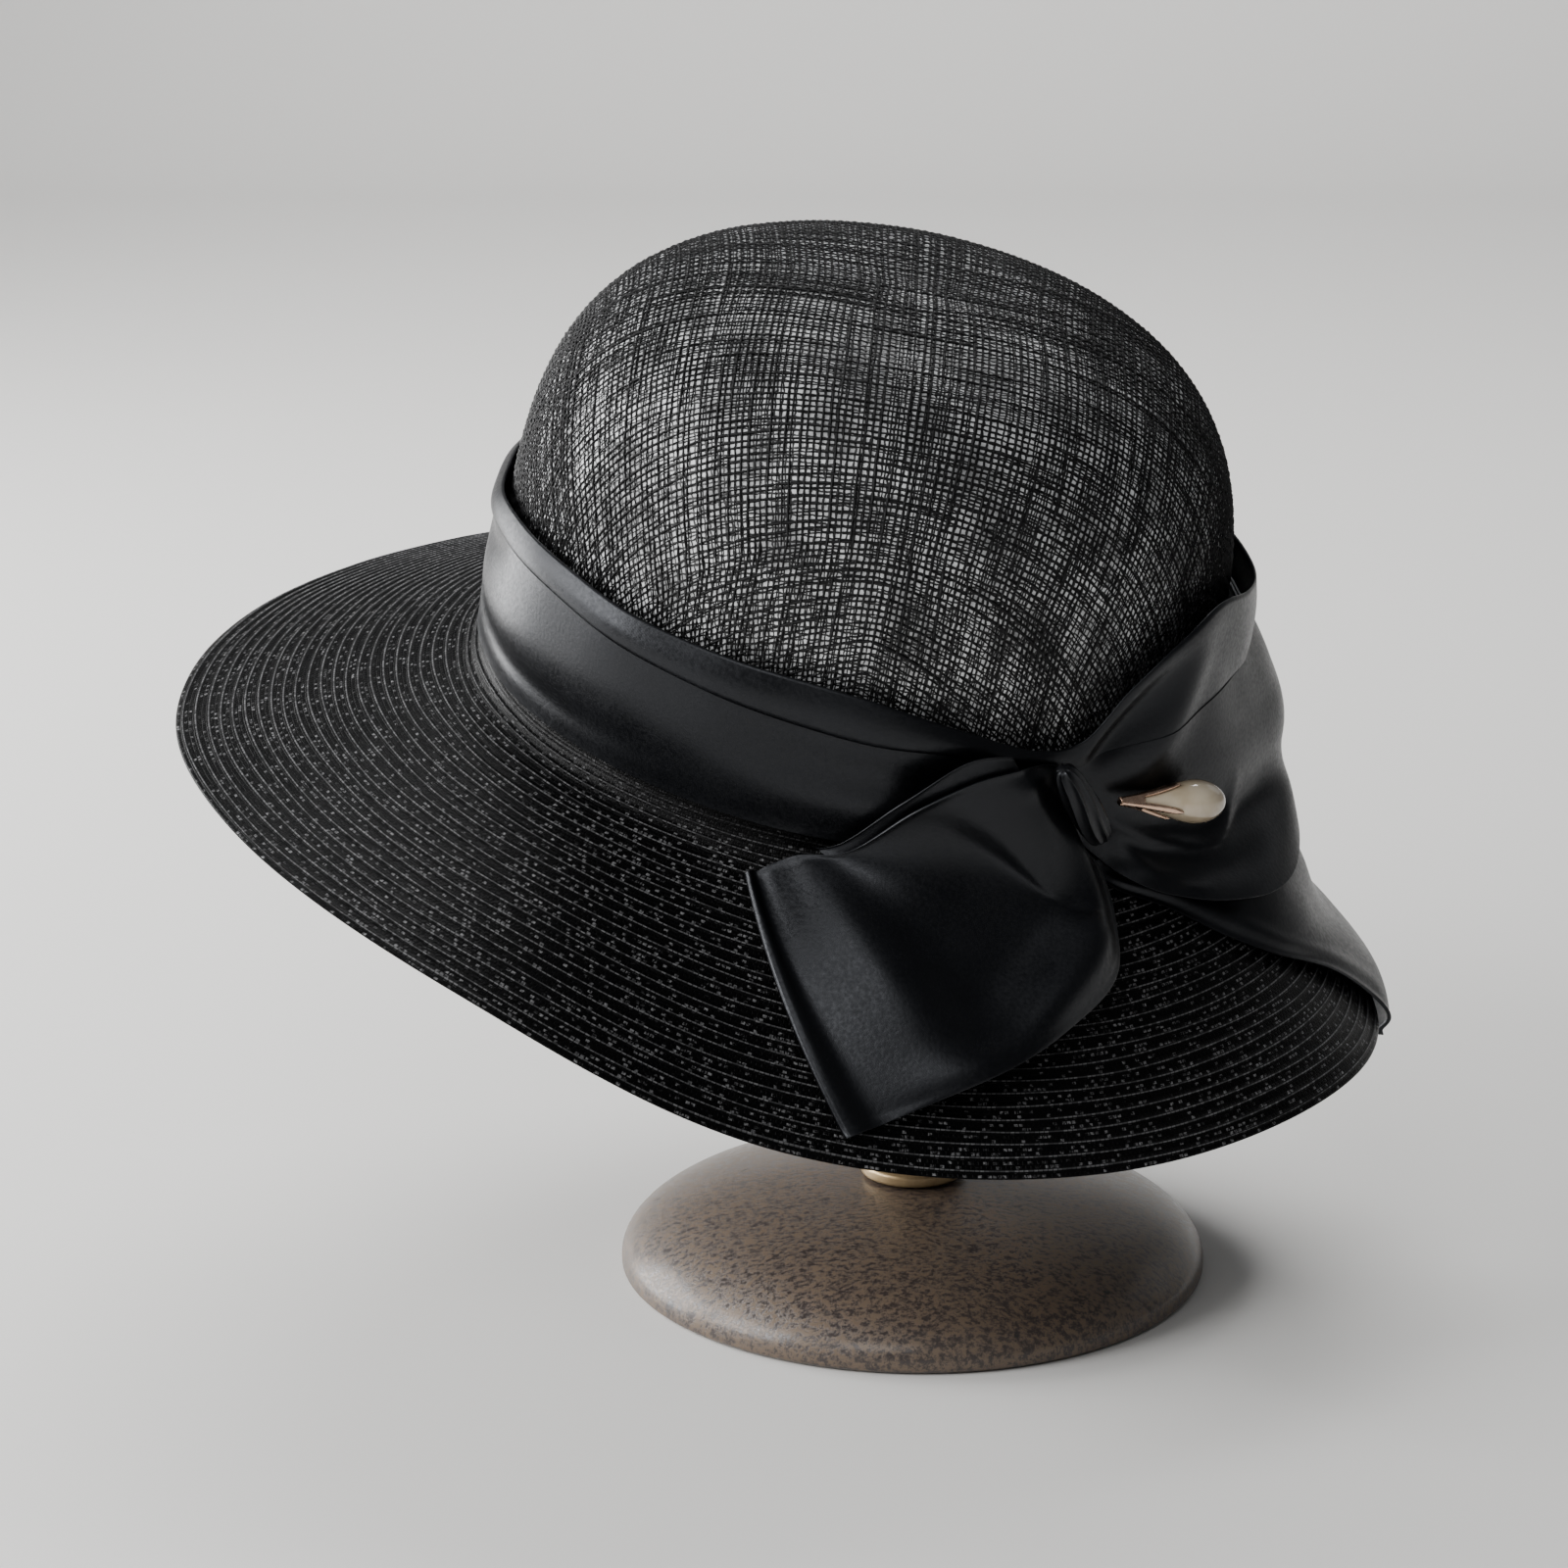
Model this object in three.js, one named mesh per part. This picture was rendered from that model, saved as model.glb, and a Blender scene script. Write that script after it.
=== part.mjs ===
// A woman's sun hat on a domed metal hat stand, as a three.js scene graph.
//
// The crown is open-weave cloth, the brim is sewn from rows of flat straw braid, and a wide satin
// ribbon goes round the crown, is pinched in a knot at the wearer's left, and ends in two tails.
// A pearl drop in a gold claw hangs from the knot. The stand holds the hat up by its crown.
//
// Units are millimetres and +Z is up. The origin is the centre of the stand's foot, on the floor.
// The hat has a frame of its own, tilted on the stand: its origin is the centre of the head opening,
// +Z goes up through the crown, and an azimuth is measured from the back of the hat.

import * as THREE from 'three';

// ---------------------------------------------------------------- driving sizes

const gap = 0.3;                  // clearance that neighbouring pieces keep
const clothWall = 1.2;            // crown cloth, stiffened, and two layers of satin
const brimWall = 1.6;             // two overlapping rows of flat braid
const ribbonWall = 1.2;

const hat = {
  centre: new THREE.Vector3(-20.4, 0.2, 164.6),  // middle of the head opening above the floor
  tiltForward: 14.9,              // degrees that the crown leans towards -Y
  tiltSide: 10.4,                 // degrees that the crown then leans towards +X
  halfLength: 97.4,               // outside of the crown at the brim, front to back
  halfWidth: 85.4,                // and from side to side
};

const crown = {
  height: 121.5, straight: 26.3, taper: 0.012, roundness: 3.18, lean: -0.018,
  seam: 8.5,
};

const brim = { width: 84, cove: 10, collar: 8 };
// How far the brim droops below level, every 30 degrees of azimuth from -180.
const brimDroop = [22, 13, 13, 28.5, 32.5, 31, 44, 54, 42, 31, 28, 27];

// The ribbon round the crown. Heights up the wall and out along the brim are one running length,
// positive up the wall and negative along the brim. A stand-off is the distance from the hat.
const bandColumns = [
  'azimuth', 'top', 'offTop', 'pleat', 'offPleat', 'lip', 'offBelly', 'hem', 'offHem'];
const bandTable = [
  [-180, 49.0, 1.4, 44.5, 2.6, 1.2, 3.4, 6.0, 2.6],
  [-150, 53.5, 3.2, 47.0, 4.2, 1.6, 6.0, 6.0, 4.2],
  [-120, 51.5, 3.4, 43.0, 4.6, 1.6, 6.4, 6.0, 4.5],
  [-90, 49.5, 3.6, 38.5, 4.6, 1.6, 6.2, 6.0, 4.5],
  [-74, 43.0, 3.6, 38.0, 4.6, 1.2, 5.8, 8.0, 4.0],
  [-62, 37.5, 3.6, 34.5, 4.4, 0.5, 4.8, 12.0, 3.5],
  [-55, 39.5, 3.6, 32.0, 4.4, 0.2, 4.8, 12.0, 3.5],
  [-49, 54.0, 4.0, 34.0, 5.0, 0.0, 6.5, 2.0, 5.0],
  [-42, 64.0, 4.0, 38.0, 7.0, 0.0, 10.0, -17.0, 11.0],
  [-30, 70.0, 3.6, 42.0, 8.0, 0.0, 15.0, -31.0, 14.0],
  [-18, 66.0, 3.2, 43.0, 7.0, 0.3, 18.0, -32.0, 15.0],
  [-4, 60.0, 2.8, 43.0, 4.5, 0.8, 19.5, -22.0, 16.0],
  [12, 57.0, 2.6, 43.0, 4.2, 1.2, 15.0, -8.0, 12.0],
  [35, 54.0, 0.6, 43.0, 3.2, 1.6, 8.0, 4.0, 4.0],
  [60, 52.0, 0.1, 43.0, 2.8, 1.6, 5.0, 6.0, 1.8],
  [90, 50.0, 0.6, 43.0, 2.6, 1.6, 4.4, 6.0, 1.6],
  [120, 49.0, 1.0, 43.0, 2.6, 1.6, 4.2, 6.0, 1.6],
  [150, 47.5, 1.3, 43.0, 2.6, 1.4, 3.8, 6.0, 2.0],
];

const bellyShare = 0.4;          // where the belly lies between the hem and the pleat

// A tail of the bow, from the knot to its hemmed end: the two edges and three stand-offs.
const tailColumns = ['along', 'azimuthA', 'runA', 'azimuthB', 'runB', 'offA', 'offMiddle', 'offB'];
const leftTailTable = [
  [0, -58.5, 34.5, -51, 17, 6.8, 7.5, 6.9],
  [0.4, -63, 36.5, -53, 11, 8, 8.9, 8],
  [1, -68, 38.5, -51, -3, 13.5, 16.5, 11],
  [2, -74, 35, -50, -21, 14.5, 20, 10],
  [3, -81, 25, -53, -35, 14, 18, 8],
  [4, -88, 9.5, -60, -47.5, 11, 13, 6],
  [5, -95, -4, -71, -59.5, 7, 8.5, 4.5],
  [6, -101, -13, -85, -77.5, 3.2, 4, 1.8],
];
const rightTailTable = [
  [0, -44, 8, -49, -4, 3.5, 4, 1.8],
  [1, -33, 2, -45, -12, 4.5, 5, 1.8],
  [2, -20, -6, -38.5, -21, 8, 8, 1.8],
  [3, -8, -20, -32.5, -34, 12, 12, 2],
  [4, 2, -36, -26.5, -46, 7, 9, 2.4],
  [5, 12, -54, -18, -60, 2.5, 5, 3],
  [6, 21, -72, -9, -75, 3.5, 5.5, 4],
  [7, 26, -86, -3, -87, 5.5, 6.5, 4.5],
  [8, 29, -91, 1, -92, 1, 2, 0.5],
];

const knot = { azimuthTop: -61.5, runTop: 38.5, azimuthFoot: -52, runFoot: 15, off: 13.3, radius: 4 };

const pearl = { radius: 6.2, length: 29.5, claw: 15, clawWall: 0.8, prong: 5, prongs: 3 };
const pearlSeat = {
  azimuthTip: -48, azimuthBulb: -33.5, runTip: 27.5, runBulb: 23.5, offTip: 9.6, offBulb: 19.6,
};

const foot = { radius: 81.3, height: 26.5, rim: 3 };
const post = { radius: 7.5, collar: 14.5, headRadius: 38, headDome: 62, headEdge: 5 };

const slices = { crown: 56, brim: 72, band: 84, tail: 16, tailAcross: 8 };

// ---------------------------------------------------------------- tables and small helpers

const degrees = Math.PI / 180;

// A row of a table as named values.
const named = (columns, row) => Object.fromEntries(columns.map((name, i) => [name, row[i]]));

// Smooth curve through the rows of a table at x, which is in its first column. Between two rows
// it is the cubic whose slopes at both are those of the lines joining their neighbours. With a
// period the table closes on itself.
function rowAt(table, x, period = 0) {
  const count = table.length;
  const at = (i) => {
    const turn = period ? Math.floor(i / count) : 0;
    const index = period ? i - turn * count : Math.min(Math.max(i, 0), count - 1);
    return [table[index][0] + turn * period, ...table[index].slice(1)];
  };
  let i = 0;
  while (i < (period ? count - 1 : count - 2) && at(i + 1)[0] <= x) i++;
  const [before, a, b, after] = [at(i - 1), at(i), at(i + 1), at(i + 2)];
  const step = b[0] - a[0];
  const f = (x - a[0]) / step;
  return a.map((value, column) => {
    if (column === 0) return x;
    const slopeA = step * (b[column] - before[column]) / (b[0] - before[0]);
    const slopeB = step * (after[column] - value) / (after[0] - a[0]);
    const rise = b[column] - value;
    return value + f * (slopeA + f * (3 * rise - 2 * slopeA - slopeB
      + f * (slopeA + slopeB - 2 * rise)));
  });
}

const droopTable = brimDroop.map((angle, i) => [-180 + 30 * i, angle]);
const droopAt = (azimuth) => rowAt(droopTable, azimuth, 360)[1];

// Points from a to b, both ends included.
const spread = (a, b, steps) => Array.from({ length: steps + 1 }, (_, i) => a + (b - a) * i / steps);

// ---------------------------------------------------------------- the surface of the hat

// A point on or off the outside of the hat below the dome. run goes up the wall from the corner
// between crown and brim, or out along the brim when it is negative; off is square to the surface.
// The corner is a cove: a parabola between the wall and the brim.
function hatPoint(azimuth, run, off) {
  const angle = azimuth * degrees;
  const droop = droopAt(azimuth) * degrees;
  const [out, down] = [Math.cos(droop), Math.sin(droop)];
  const v = Math.min(Math.max((brim.cove - run) / (2 * brim.cove), 0), 1);
  let reach = v * v * brim.cove * out;
  let rise = (1 - v) ** 2 * brim.cove - v * v * brim.cove * down;
  const [alongOut, alongUp] = [v * out, -(1 - v) - v * down];
  const size = Math.hypot(alongOut, alongUp);
  if (run > brim.cove) rise += run - brim.cove;
  if (run < -brim.cove) {
    reach += (-run - brim.cove) * out;
    rise += (run + brim.cove) * down;
  }
  reach -= off * alongUp / size;
  rise += off * alongOut / size;
  const normal = new THREE.Vector2(Math.cos(angle) / hat.halfLength, Math.sin(angle) / hat.halfWidth);
  normal.normalize();
  return new THREE.Vector3(
    hat.halfLength * Math.cos(angle) + reach * normal.x,
    hat.halfWidth * Math.sin(angle) + reach * normal.y,
    rise);
}

// ---------------------------------------------------------------- closed bodies

// A closed body through a row of sections, each a closed polygon with the same number of points.
// A loop joins the last section to the first; otherwise both ends are closed by a fan.
function loft(sections, { loop = false } = {}) {
  const around = sections[0].length;
  const points = sections.flat();
  const faces = [];
  const index = (s, i) => (s % sections.length) * around + (i % around);
  for (let s = 0; s < sections.length - (loop ? 0 : 1); s++) {
    for (let i = 0; i < around; i++) {
      const [a, b, c, d] = [index(s, i), index(s, i + 1), index(s + 1, i + 1), index(s + 1, i)];
      faces.push([a, b, c], [a, c, d]);
    }
  }
  if (!loop) {
    const last = sections.length - 1;
    for (const [s, front] of [[0, true], [last, false]]) {
      const middle = new THREE.Vector3();
      sections[s].forEach((point) => middle.add(point));
      const hub = points.push(middle.divideScalar(around)) - 1;
      for (let i = 0; i < around; i++) {
        const [a, b] = [index(s, i), index(s, i + 1)];
        faces.push(front ? [hub, b, a] : [hub, a, b]);
      }
    }
  }
  return closedGeometry(points, faces);
}

// Points and triangles as a geometry, turned so that its faces point outwards.
function closedGeometry(points, faces) {
  const volume = faces.reduce((sum, [a, b, c]) => (
    sum + points[a].dot(points[b].clone().cross(points[c]))), 0);
  const outward = volume > 0 ? faces : faces.map(([a, b, c]) => [a, c, b]);
  const geometry = new THREE.BufferGeometry().setFromPoints(points);
  geometry.setIndex(outward.flat());
  geometry.computeVertexNormals();
  return geometry;
}

// The section of a wall: its outer line one way and its inner line back.
const wallSection = (outer, inner) => [...outer, ...inner.toReversed()];

const finish = (color, roughness, metalness = 0) => (
  new THREE.MeshStandardMaterial({ color, roughness, metalness }));

function piece(name, geometry, material) {
  const mesh = new THREE.Mesh(geometry, material);
  mesh.name = name;
  return mesh;
}

// ---------------------------------------------------------------- crown and brim

// One level ring of the crown, drawn in by a wall's thickness for the lining side.
function crownRing(climb, inset) {
  const dome = crown.height - inset - crown.straight;
  const height = climb < 0
    ? crown.seam + (crown.straight - crown.seam) * (1 + climb)
    : crown.straight + dome * Math.sin(climb * degrees) ** (2 / crown.roundness);
  const narrow = 1 - crown.taper * Math.min(height / crown.straight, 1);
  const k = narrow * (climb < 0 ? 1 : Math.cos(climb * degrees) ** (2 / crown.roundness));
  return spread(-180, 180, slices.crown).slice(0, -1).map((azimuth) => new THREE.Vector3(
    (hat.halfLength - inset) * k * Math.cos(azimuth * degrees) + crown.lean * height,
    (hat.halfWidth - inset) * k * Math.sin(azimuth * degrees),
    height));
}

// The dome is a superellipse: climb is its angle, and -1 is the seam at the foot of the wall.
const crownClimbs = [-1, 0, 8, 18, 28, 38, 48, 58, 68, 76, 83, 88];

function crownGeometry() {
  const outer = crownClimbs.toReversed().map((climb) => crownRing(climb, 0));
  const inner = crownClimbs.map((climb) => crownRing(climb, clothWall));
  return loft([...outer, ...inner]);
}

function brimGeometry() {
  const runs = [brim.collar, 3.5, -1, -6, -20, -52, -brim.width];
  const sections = spread(-180, 180, slices.brim).slice(0, -1).map((azimuth) => wallSection(
    runs.map((run) => hatPoint(azimuth, run, 0)),
    runs.map((run) => hatPoint(azimuth, run, -brimWall))));
  return loft(sections, { loop: true });
}

// ---------------------------------------------------------------- satin band, bow and knot

// The ribbon's outer line at one azimuth as [run, off] pairs, from its hem to its top. The lower
// fold is a parabola through its hem, its belly and the pleat, and the upper fold laps over it at
// the pleat by a small lip.
function bandLine(row) {
  const lower = [0, 0.15, 0.3, 0.5, 0.7, 0.9].map((share) => [
    row.hem + (row.pleat - row.hem) * share,
    row.offHem * (share - bellyShare) * (share - 1) / bellyShare
      + row.offBelly * share * (1 - share) / (bellyShare * (1 - bellyShare))
      + row.offPleat * share * (share - bellyShare) / (1 - bellyShare)]);
  return [
    ...lower,
    [row.pleat, row.offPleat + row.lip],
    [(row.pleat + row.top) / 2, (row.offPleat + row.offTop) / 2 + row.lip * 0.8],
    [row.top, row.offTop],
  ];
}

function bandGeometry() {
  const sections = spread(-180, 180, slices.band).slice(0, -1).map((azimuth) => {
    const line = bandLine(named(bandColumns, rowAt(bandTable, azimuth, 360)));
    return wallSection(
      line.map(([run, off]) => hatPoint(azimuth, run, off)),
      line.map(([run, off]) => hatPoint(azimuth, run, off - ribbonWall)));
  });
  return loft(sections, { loop: true });
}

// A tail as a wall of satin. Across the ribbon, from edge A to edge B, the stand-off is the
// parabola through its values at the edges and the middle.
function tailGeometry(table) {
  const end = table.at(-1)[0];
  const sections = spread(0, end, slices.tail).map((along) => {
    const row = named(tailColumns, rowAt(table, along));
    const side = (inset) => spread(0, 1, slices.tailAcross).map((v) => {
      const off = row.offA * (1 - v) * (1 - 2 * v) + 4 * row.offMiddle * v * (1 - v)
        + row.offB * v * (2 * v - 1);
      return hatPoint(
        row.azimuthA + (row.azimuthB - row.azimuthA) * v,
        row.runA + (row.runB - row.runA) * v,
        off - inset);
    });
    return wallSection(side(0), side(ribbonWall));
  });
  return loft(sections);
}

// The knot: a fat gathered roll across the ribbon, pleated along its length.
function knotGeometry() {
  const top = hatPoint(knot.azimuthTop, knot.runTop, knot.off);
  const low = hatPoint(knot.azimuthFoot, knot.runFoot, knot.off);
  const along = low.clone().sub(top).normalize();
  const outward = hatPoint(knot.azimuthTop, knot.runTop, knot.off + 1).sub(top);
  const across = new THREE.Vector3().crossVectors(along, outward).normalize();
  outward.crossVectors(across, along);
  const sections = spread(-80, 80, 10).map((angle) => {
    const middle = top.clone().lerp(low, (1 + Math.sin(angle * degrees)) / 2);
    return spread(0, 360, 20).slice(0, -1).map((turn, i) => {
      const radius = knot.radius * Math.cos(angle * degrees) ** 0.5 * (i % 2 ? 0.88 : 1);
      return middle.clone()
        .addScaledVector(across, radius * Math.cos(turn * degrees))
        .addScaledVector(outward, radius * Math.sin(turn * degrees));
    });
  });
  return loft(sections);
}

// ---------------------------------------------------------------- pearl drop

// Radius of the pearl at a distance from its point: a cone that swells into a round bulb.
function pearlRadius(distance) {
  const t = distance / pearl.length;
  return pearl.radius * Math.sin(Math.PI * t ** 1.6) ** 0.75 * (0.55 + 0.45 * Math.sin(Math.PI * t / 2));
}

function pearlGeometry() {
  const profile = spread(0, 1, 12).map((share) => {
    const distance = pearl.length * Math.sin(share * Math.PI / 2);
    const inner = share > 0 && share < 1;
    return new THREE.Vector2(inner ? pearlRadius(distance) : 0, distance);
  });
  return new THREE.LatheGeometry(profile, 16);
}

// The claw: a cup on the pearl's point whose rim runs out into prongs.
function clawGeometry() {
  const around = spread(0, 360, 24).slice(0, -1);
  const ring = (share, clearance) => around.map((turn) => {
    const reach = pearl.claw - pearl.prong
      * (1 - Math.max(Math.cos(pearl.prongs * turn * degrees), 0) ** 0.7);
    const distance = reach * share;
    const radius = pearlRadius(distance) + clearance;
    return new THREE.Vector3(
      radius * Math.cos(turn * degrees), distance - (1 - share) * (1 + clearance),
      radius * Math.sin(turn * degrees));
  });
  const shares = [0.08, 0.3, 0.55, 0.8, 1];
  const outer = shares.map((share) => ring(share, gap + pearl.clawWall));
  const inner = shares.toReversed().map((share) => ring(share, gap));
  return loft([...outer, ...inner]);
}

function pearlDrop() {
  const tip = hatPoint(pearlSeat.azimuthTip, pearlSeat.runTip, pearlSeat.offTip);
  const bulb = hatPoint(pearlSeat.azimuthBulb, pearlSeat.runBulb, pearlSeat.offBulb);
  const drop = new THREE.Group();
  drop.position.copy(tip);
  drop.quaternion.setFromUnitVectors(new THREE.Vector3(0, 1, 0), bulb.sub(tip).normalize());
  drop.add(
    piece('pearl', pearlGeometry(), finish(0xe9dfcb, 0.25)),
    piece('pearl_claw', clawGeometry(), finish(0xc9a06a, 0.3, 1)));
  return drop;
}

// ---------------------------------------------------------------- stand

// Turned on its axis, which three.js lays along Y.
function turned(profile, steps) {
  const points = profile.map(([radius, height]) => new THREE.Vector2(radius, height));
  return new THREE.LatheGeometry(points, steps).rotateX(Math.PI / 2);
}

function footGeometry() {
  const dome = spread(0, 90, 8).map((angle) => [
    foot.radius * Math.cos(angle * degrees),
    foot.rim + (foot.height - foot.rim) * Math.sin(angle * degrees)]);
  dome[dome.length - 1][0] = 0;
  return turned([[0, 0], [foot.radius - 2, 0], [foot.radius, 1.2], ...dome], 40);
}

// Height of the post's head: its dome rises until it is one gap from the lining of the crown.
function headHeight(crownMesh) {
  const lining = crownMesh.geometry.getAttribute('position');
  const point = new THREE.Vector3();
  let height = Infinity;
  for (let i = 0; i < lining.count; i++) {
    point.fromBufferAttribute(lining, i).applyMatrix4(crownMesh.matrixWorld);
    const radius = Math.hypot(point.x, point.y);
    if (radius > post.headRadius + 8) continue;
    height = Math.min(height, point.z + radius ** 2 / (2 * post.headDome));
  }
  return height - gap;
}

function postGeometry(top) {
  const drop = (radius) => radius ** 2 / (2 * post.headDome);
  const head = spread(post.headRadius, 0, 5).map((radius) => [radius, top - drop(radius)]);
  const under = top - drop(post.headRadius) - post.headEdge;
  const start = foot.height + gap;
  return turned([
    [0, start],
    [post.collar, start], [post.collar, start + 3], [post.collar - 3, start + 4.5],
    [post.collar - 3, start + 8], [post.radius + 1.5, start + 9.5], [post.radius, start + 13],
    [post.radius, under - 8], [post.radius + 6, under - 2], [post.headRadius - 3, under],
    ...head], 28);
}

// ---------------------------------------------------------------- assembly

const satin = () => finish(0x121316, 0.35);

const hatGroup = new THREE.Group();
hatGroup.position.copy(hat.centre);
hatGroup.rotation.set(hat.tiltForward * degrees, hat.tiltSide * degrees, 0, 'ZYX');

const crownMesh = piece('crown', crownGeometry(), finish(0x17181a, 0.8));
hatGroup.add(
  crownMesh,
  piece('brim', brimGeometry(), finish(0x0d0e10, 0.6)),
  piece('band', bandGeometry(), satin()),
  piece('bow_left_tail', tailGeometry(leftTailTable), satin()),
  piece('bow_right_tail', tailGeometry(rightTailTable), satin()),
  piece('bow_knot', knotGeometry(), satin()),
  pearlDrop());
hatGroup.updateMatrixWorld(true);

const object = new THREE.Group();
object.add(
  hatGroup,
  piece('stand_foot', footGeometry(), finish(0x6f5a49, 0.45, 0.8)),
  piece('stand_post', postGeometry(headHeight(crownMesh)), finish(0xb08d57, 0.35, 1)));

export default object;
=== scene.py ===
# %% [markdown]
# # A sun hat on a hat stand
#
# The hat is a woman's dress hat: an open-weave crown, a brim sewn from rows of flat straw braid,
# and a wide satin ribbon that is pinched into a bow with a pearl drop. A domed metal stand holds
# it up. The construction model gives every piece its place; this file gives each one its finish.
#
# First the construction model is loaded.

# %% Load the construction model
import math

import bpy
import numpy as np
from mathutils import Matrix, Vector


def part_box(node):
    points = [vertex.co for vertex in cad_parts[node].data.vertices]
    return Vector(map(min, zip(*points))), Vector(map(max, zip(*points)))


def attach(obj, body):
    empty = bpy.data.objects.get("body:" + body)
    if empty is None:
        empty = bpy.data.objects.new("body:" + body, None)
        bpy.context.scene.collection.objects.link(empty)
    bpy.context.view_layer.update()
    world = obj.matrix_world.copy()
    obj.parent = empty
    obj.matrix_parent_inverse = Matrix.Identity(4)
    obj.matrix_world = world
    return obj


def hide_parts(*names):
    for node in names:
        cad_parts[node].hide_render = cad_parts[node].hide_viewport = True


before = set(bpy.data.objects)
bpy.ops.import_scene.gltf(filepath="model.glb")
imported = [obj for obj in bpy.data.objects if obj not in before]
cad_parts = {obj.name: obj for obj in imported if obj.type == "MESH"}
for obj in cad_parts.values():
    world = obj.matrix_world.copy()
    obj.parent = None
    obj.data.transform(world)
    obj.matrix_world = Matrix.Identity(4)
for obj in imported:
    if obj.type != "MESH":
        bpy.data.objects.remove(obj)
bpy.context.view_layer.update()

print("nodes:", sorted(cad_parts))

# %% [markdown]
# The camera stands a little above the brim and looks along +Y, so the bow is on the near side.
# A long lens far away keeps the perspective gentle, as a catalogue picture does.

# %% Camera
camera_distance = 1.2
camera_height_angle = math.radians(16.1)
aim = Vector((-0.0359, 0.0, 0.13875))

camera_data = bpy.data.cameras.new("camera")
camera_data.lens = 101.33
camera_data.sensor_width = 36
camera = bpy.data.objects.new("camera", camera_data)
camera.location = aim + camera_distance * Vector(
    (0, -math.cos(camera_height_angle), math.sin(camera_height_angle)))
camera.rotation_euler = (math.pi / 2 - camera_height_angle, 0, 0)
bpy.context.scene.collection.objects.link(camera)
bpy.context.scene.camera = camera
print("camera at", [round(x, 3) for x in camera.location])

# %% [markdown]
# Every soft piece of the hat lies on or near one surface: up the crown's wall, round a small cove,
# and out along the drooping brim. So one map is written once, and each piece is then a small
# table of heights and stand-offs on it. A table is read with a smooth cubic between its rows,
# which keeps a curve soft with few numbers.

# %% Smooth tables
def row_at(table, x, period=0.0):
    """Rows of a table at every x: between two rows a cubic whose slopes are those of the lines
    that join each row's neighbours. With a period the table closes on itself."""
    rows = np.asarray(table, float)
    x = np.asarray(x, float)
    if period:
        turn = np.zeros(rows.shape[1])
        turn[0] = period
        x = rows[0, 0] + (x - rows[0, 0]) % period
        rows = np.vstack([rows[-2:] - turn, rows, rows[:2] + turn])
    else:
        rows = np.vstack([rows[:1], rows, rows[-1:]])
    i = np.clip(np.searchsorted(rows[1:-1, 0], x, side="right"), 1, len(rows) - 3)
    before, a, b, after = (rows[i + k] for k in (-1, 0, 1, 2))
    step = (b - a)[..., :1]
    f = (x[..., None] - a[..., :1]) / step
    rise = b - a
    slope_a = step * (b - before) / (b - before)[..., :1]
    slope_b = step * (after - a) / (after - a)[..., :1]
    return a + f * (slope_a + f * (3 * rise - 2 * slope_a - slope_b + f * (slope_a + slope_b - 2 * rise)))


def smoothstep(low, high, x):
    """0 below low, 1 above high, and 3t² − 2t³ between."""
    t = np.clip((x - low) / (high - low), 0, 1)
    return t * t * (3 - 2 * t)


# %% The surface of the hat
half_length, half_width = 97.4, 85.4        # outside of the crown at the brim, in millimetres
hat_centre = np.array([-20.4, 0.2, 164.6])
tilt_forward, tilt_side = math.radians(14.9), math.radians(10.4)
cove, brim_width, brim_wall = 10.0, 84.0, 1.6
crown_height, crown_straight, crown_taper = 121.5, 26.3, 0.012
crown_roundness, crown_lean, crown_seam = 3.18, -0.018, 8.5
brim_droop = [22, 13, 13, 28.5, 32.5, 31, 44, 54, 42, 31, 28, 27]     # degrees, every 30 round
droop_table = [(-180 + 30 * i, angle) for i, angle in enumerate(brim_droop)]

about_x = np.array([[1, 0, 0],
                    [0, math.cos(tilt_forward), -math.sin(tilt_forward)],
                    [0, math.sin(tilt_forward), math.cos(tilt_forward)]])
about_y = np.array([[math.cos(tilt_side), 0, math.sin(tilt_side)],
                    [0, 1, 0],
                    [-math.sin(tilt_side), 0, math.cos(tilt_side)]])
hat_turn = about_y @ about_x


def placed(points):
    """Points of the hat's own frame in millimetres, tilted and set on the stand, in metres."""
    return (points @ hat_turn.T + hat_centre) / 1000


def ellipse_normal(azimuth):
    """Outward unit normal of the head oval: (cos a / half length, sin a / half width), scaled."""
    n = np.stack([np.cos(azimuth) / half_length, np.sin(azimuth) / half_width], -1)
    return n / np.linalg.norm(n, axis=-1, keepdims=True)


def hat_point(azimuth, run, off, turn=cove):
    """Point at a run up the wall (positive) or out along the brim (negative), off the surface.
    The corner is the parabola (v² c cos d, (1 − v)² c − v² c sin d) for a cove c and droop d.
    The stand-off's direction goes from level to square over runs of ± turn. Cloth that bridges
    the corner far off it takes a longer turn, so that it stays smooth."""
    azimuth, run, off = np.broadcast_arrays(azimuth, run, off)
    droop = np.radians(row_at(droop_table, azimuth, 360)[..., 1])
    out, down = np.cos(droop), np.sin(droop)
    v = np.clip((cove - run) / (2 * cove), 0, 1)
    beyond = np.maximum(-run - cove, 0)
    reach = v * v * cove * out + beyond * out
    rise = (1 - v) ** 2 * cove - v * v * cove * down - beyond * down + np.maximum(run - cove, 0)
    swing = np.clip((turn - run) / (2 * turn), 0, 1)
    along_out, along_up = swing * out, -(1 - swing) - swing * down
    size = np.hypot(along_out, along_up)
    reach = reach - off * along_up / size
    rise = rise + off * along_out / size
    angle = np.radians(azimuth)
    normal = ellipse_normal(angle)
    return np.stack([half_length * np.cos(angle) + reach * normal[..., 0],
                     half_width * np.sin(angle) + reach * normal[..., 1], rise], -1)


print("brim edge, front:", placed(hat_point(180, -brim_width, 0)).round(3))

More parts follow.
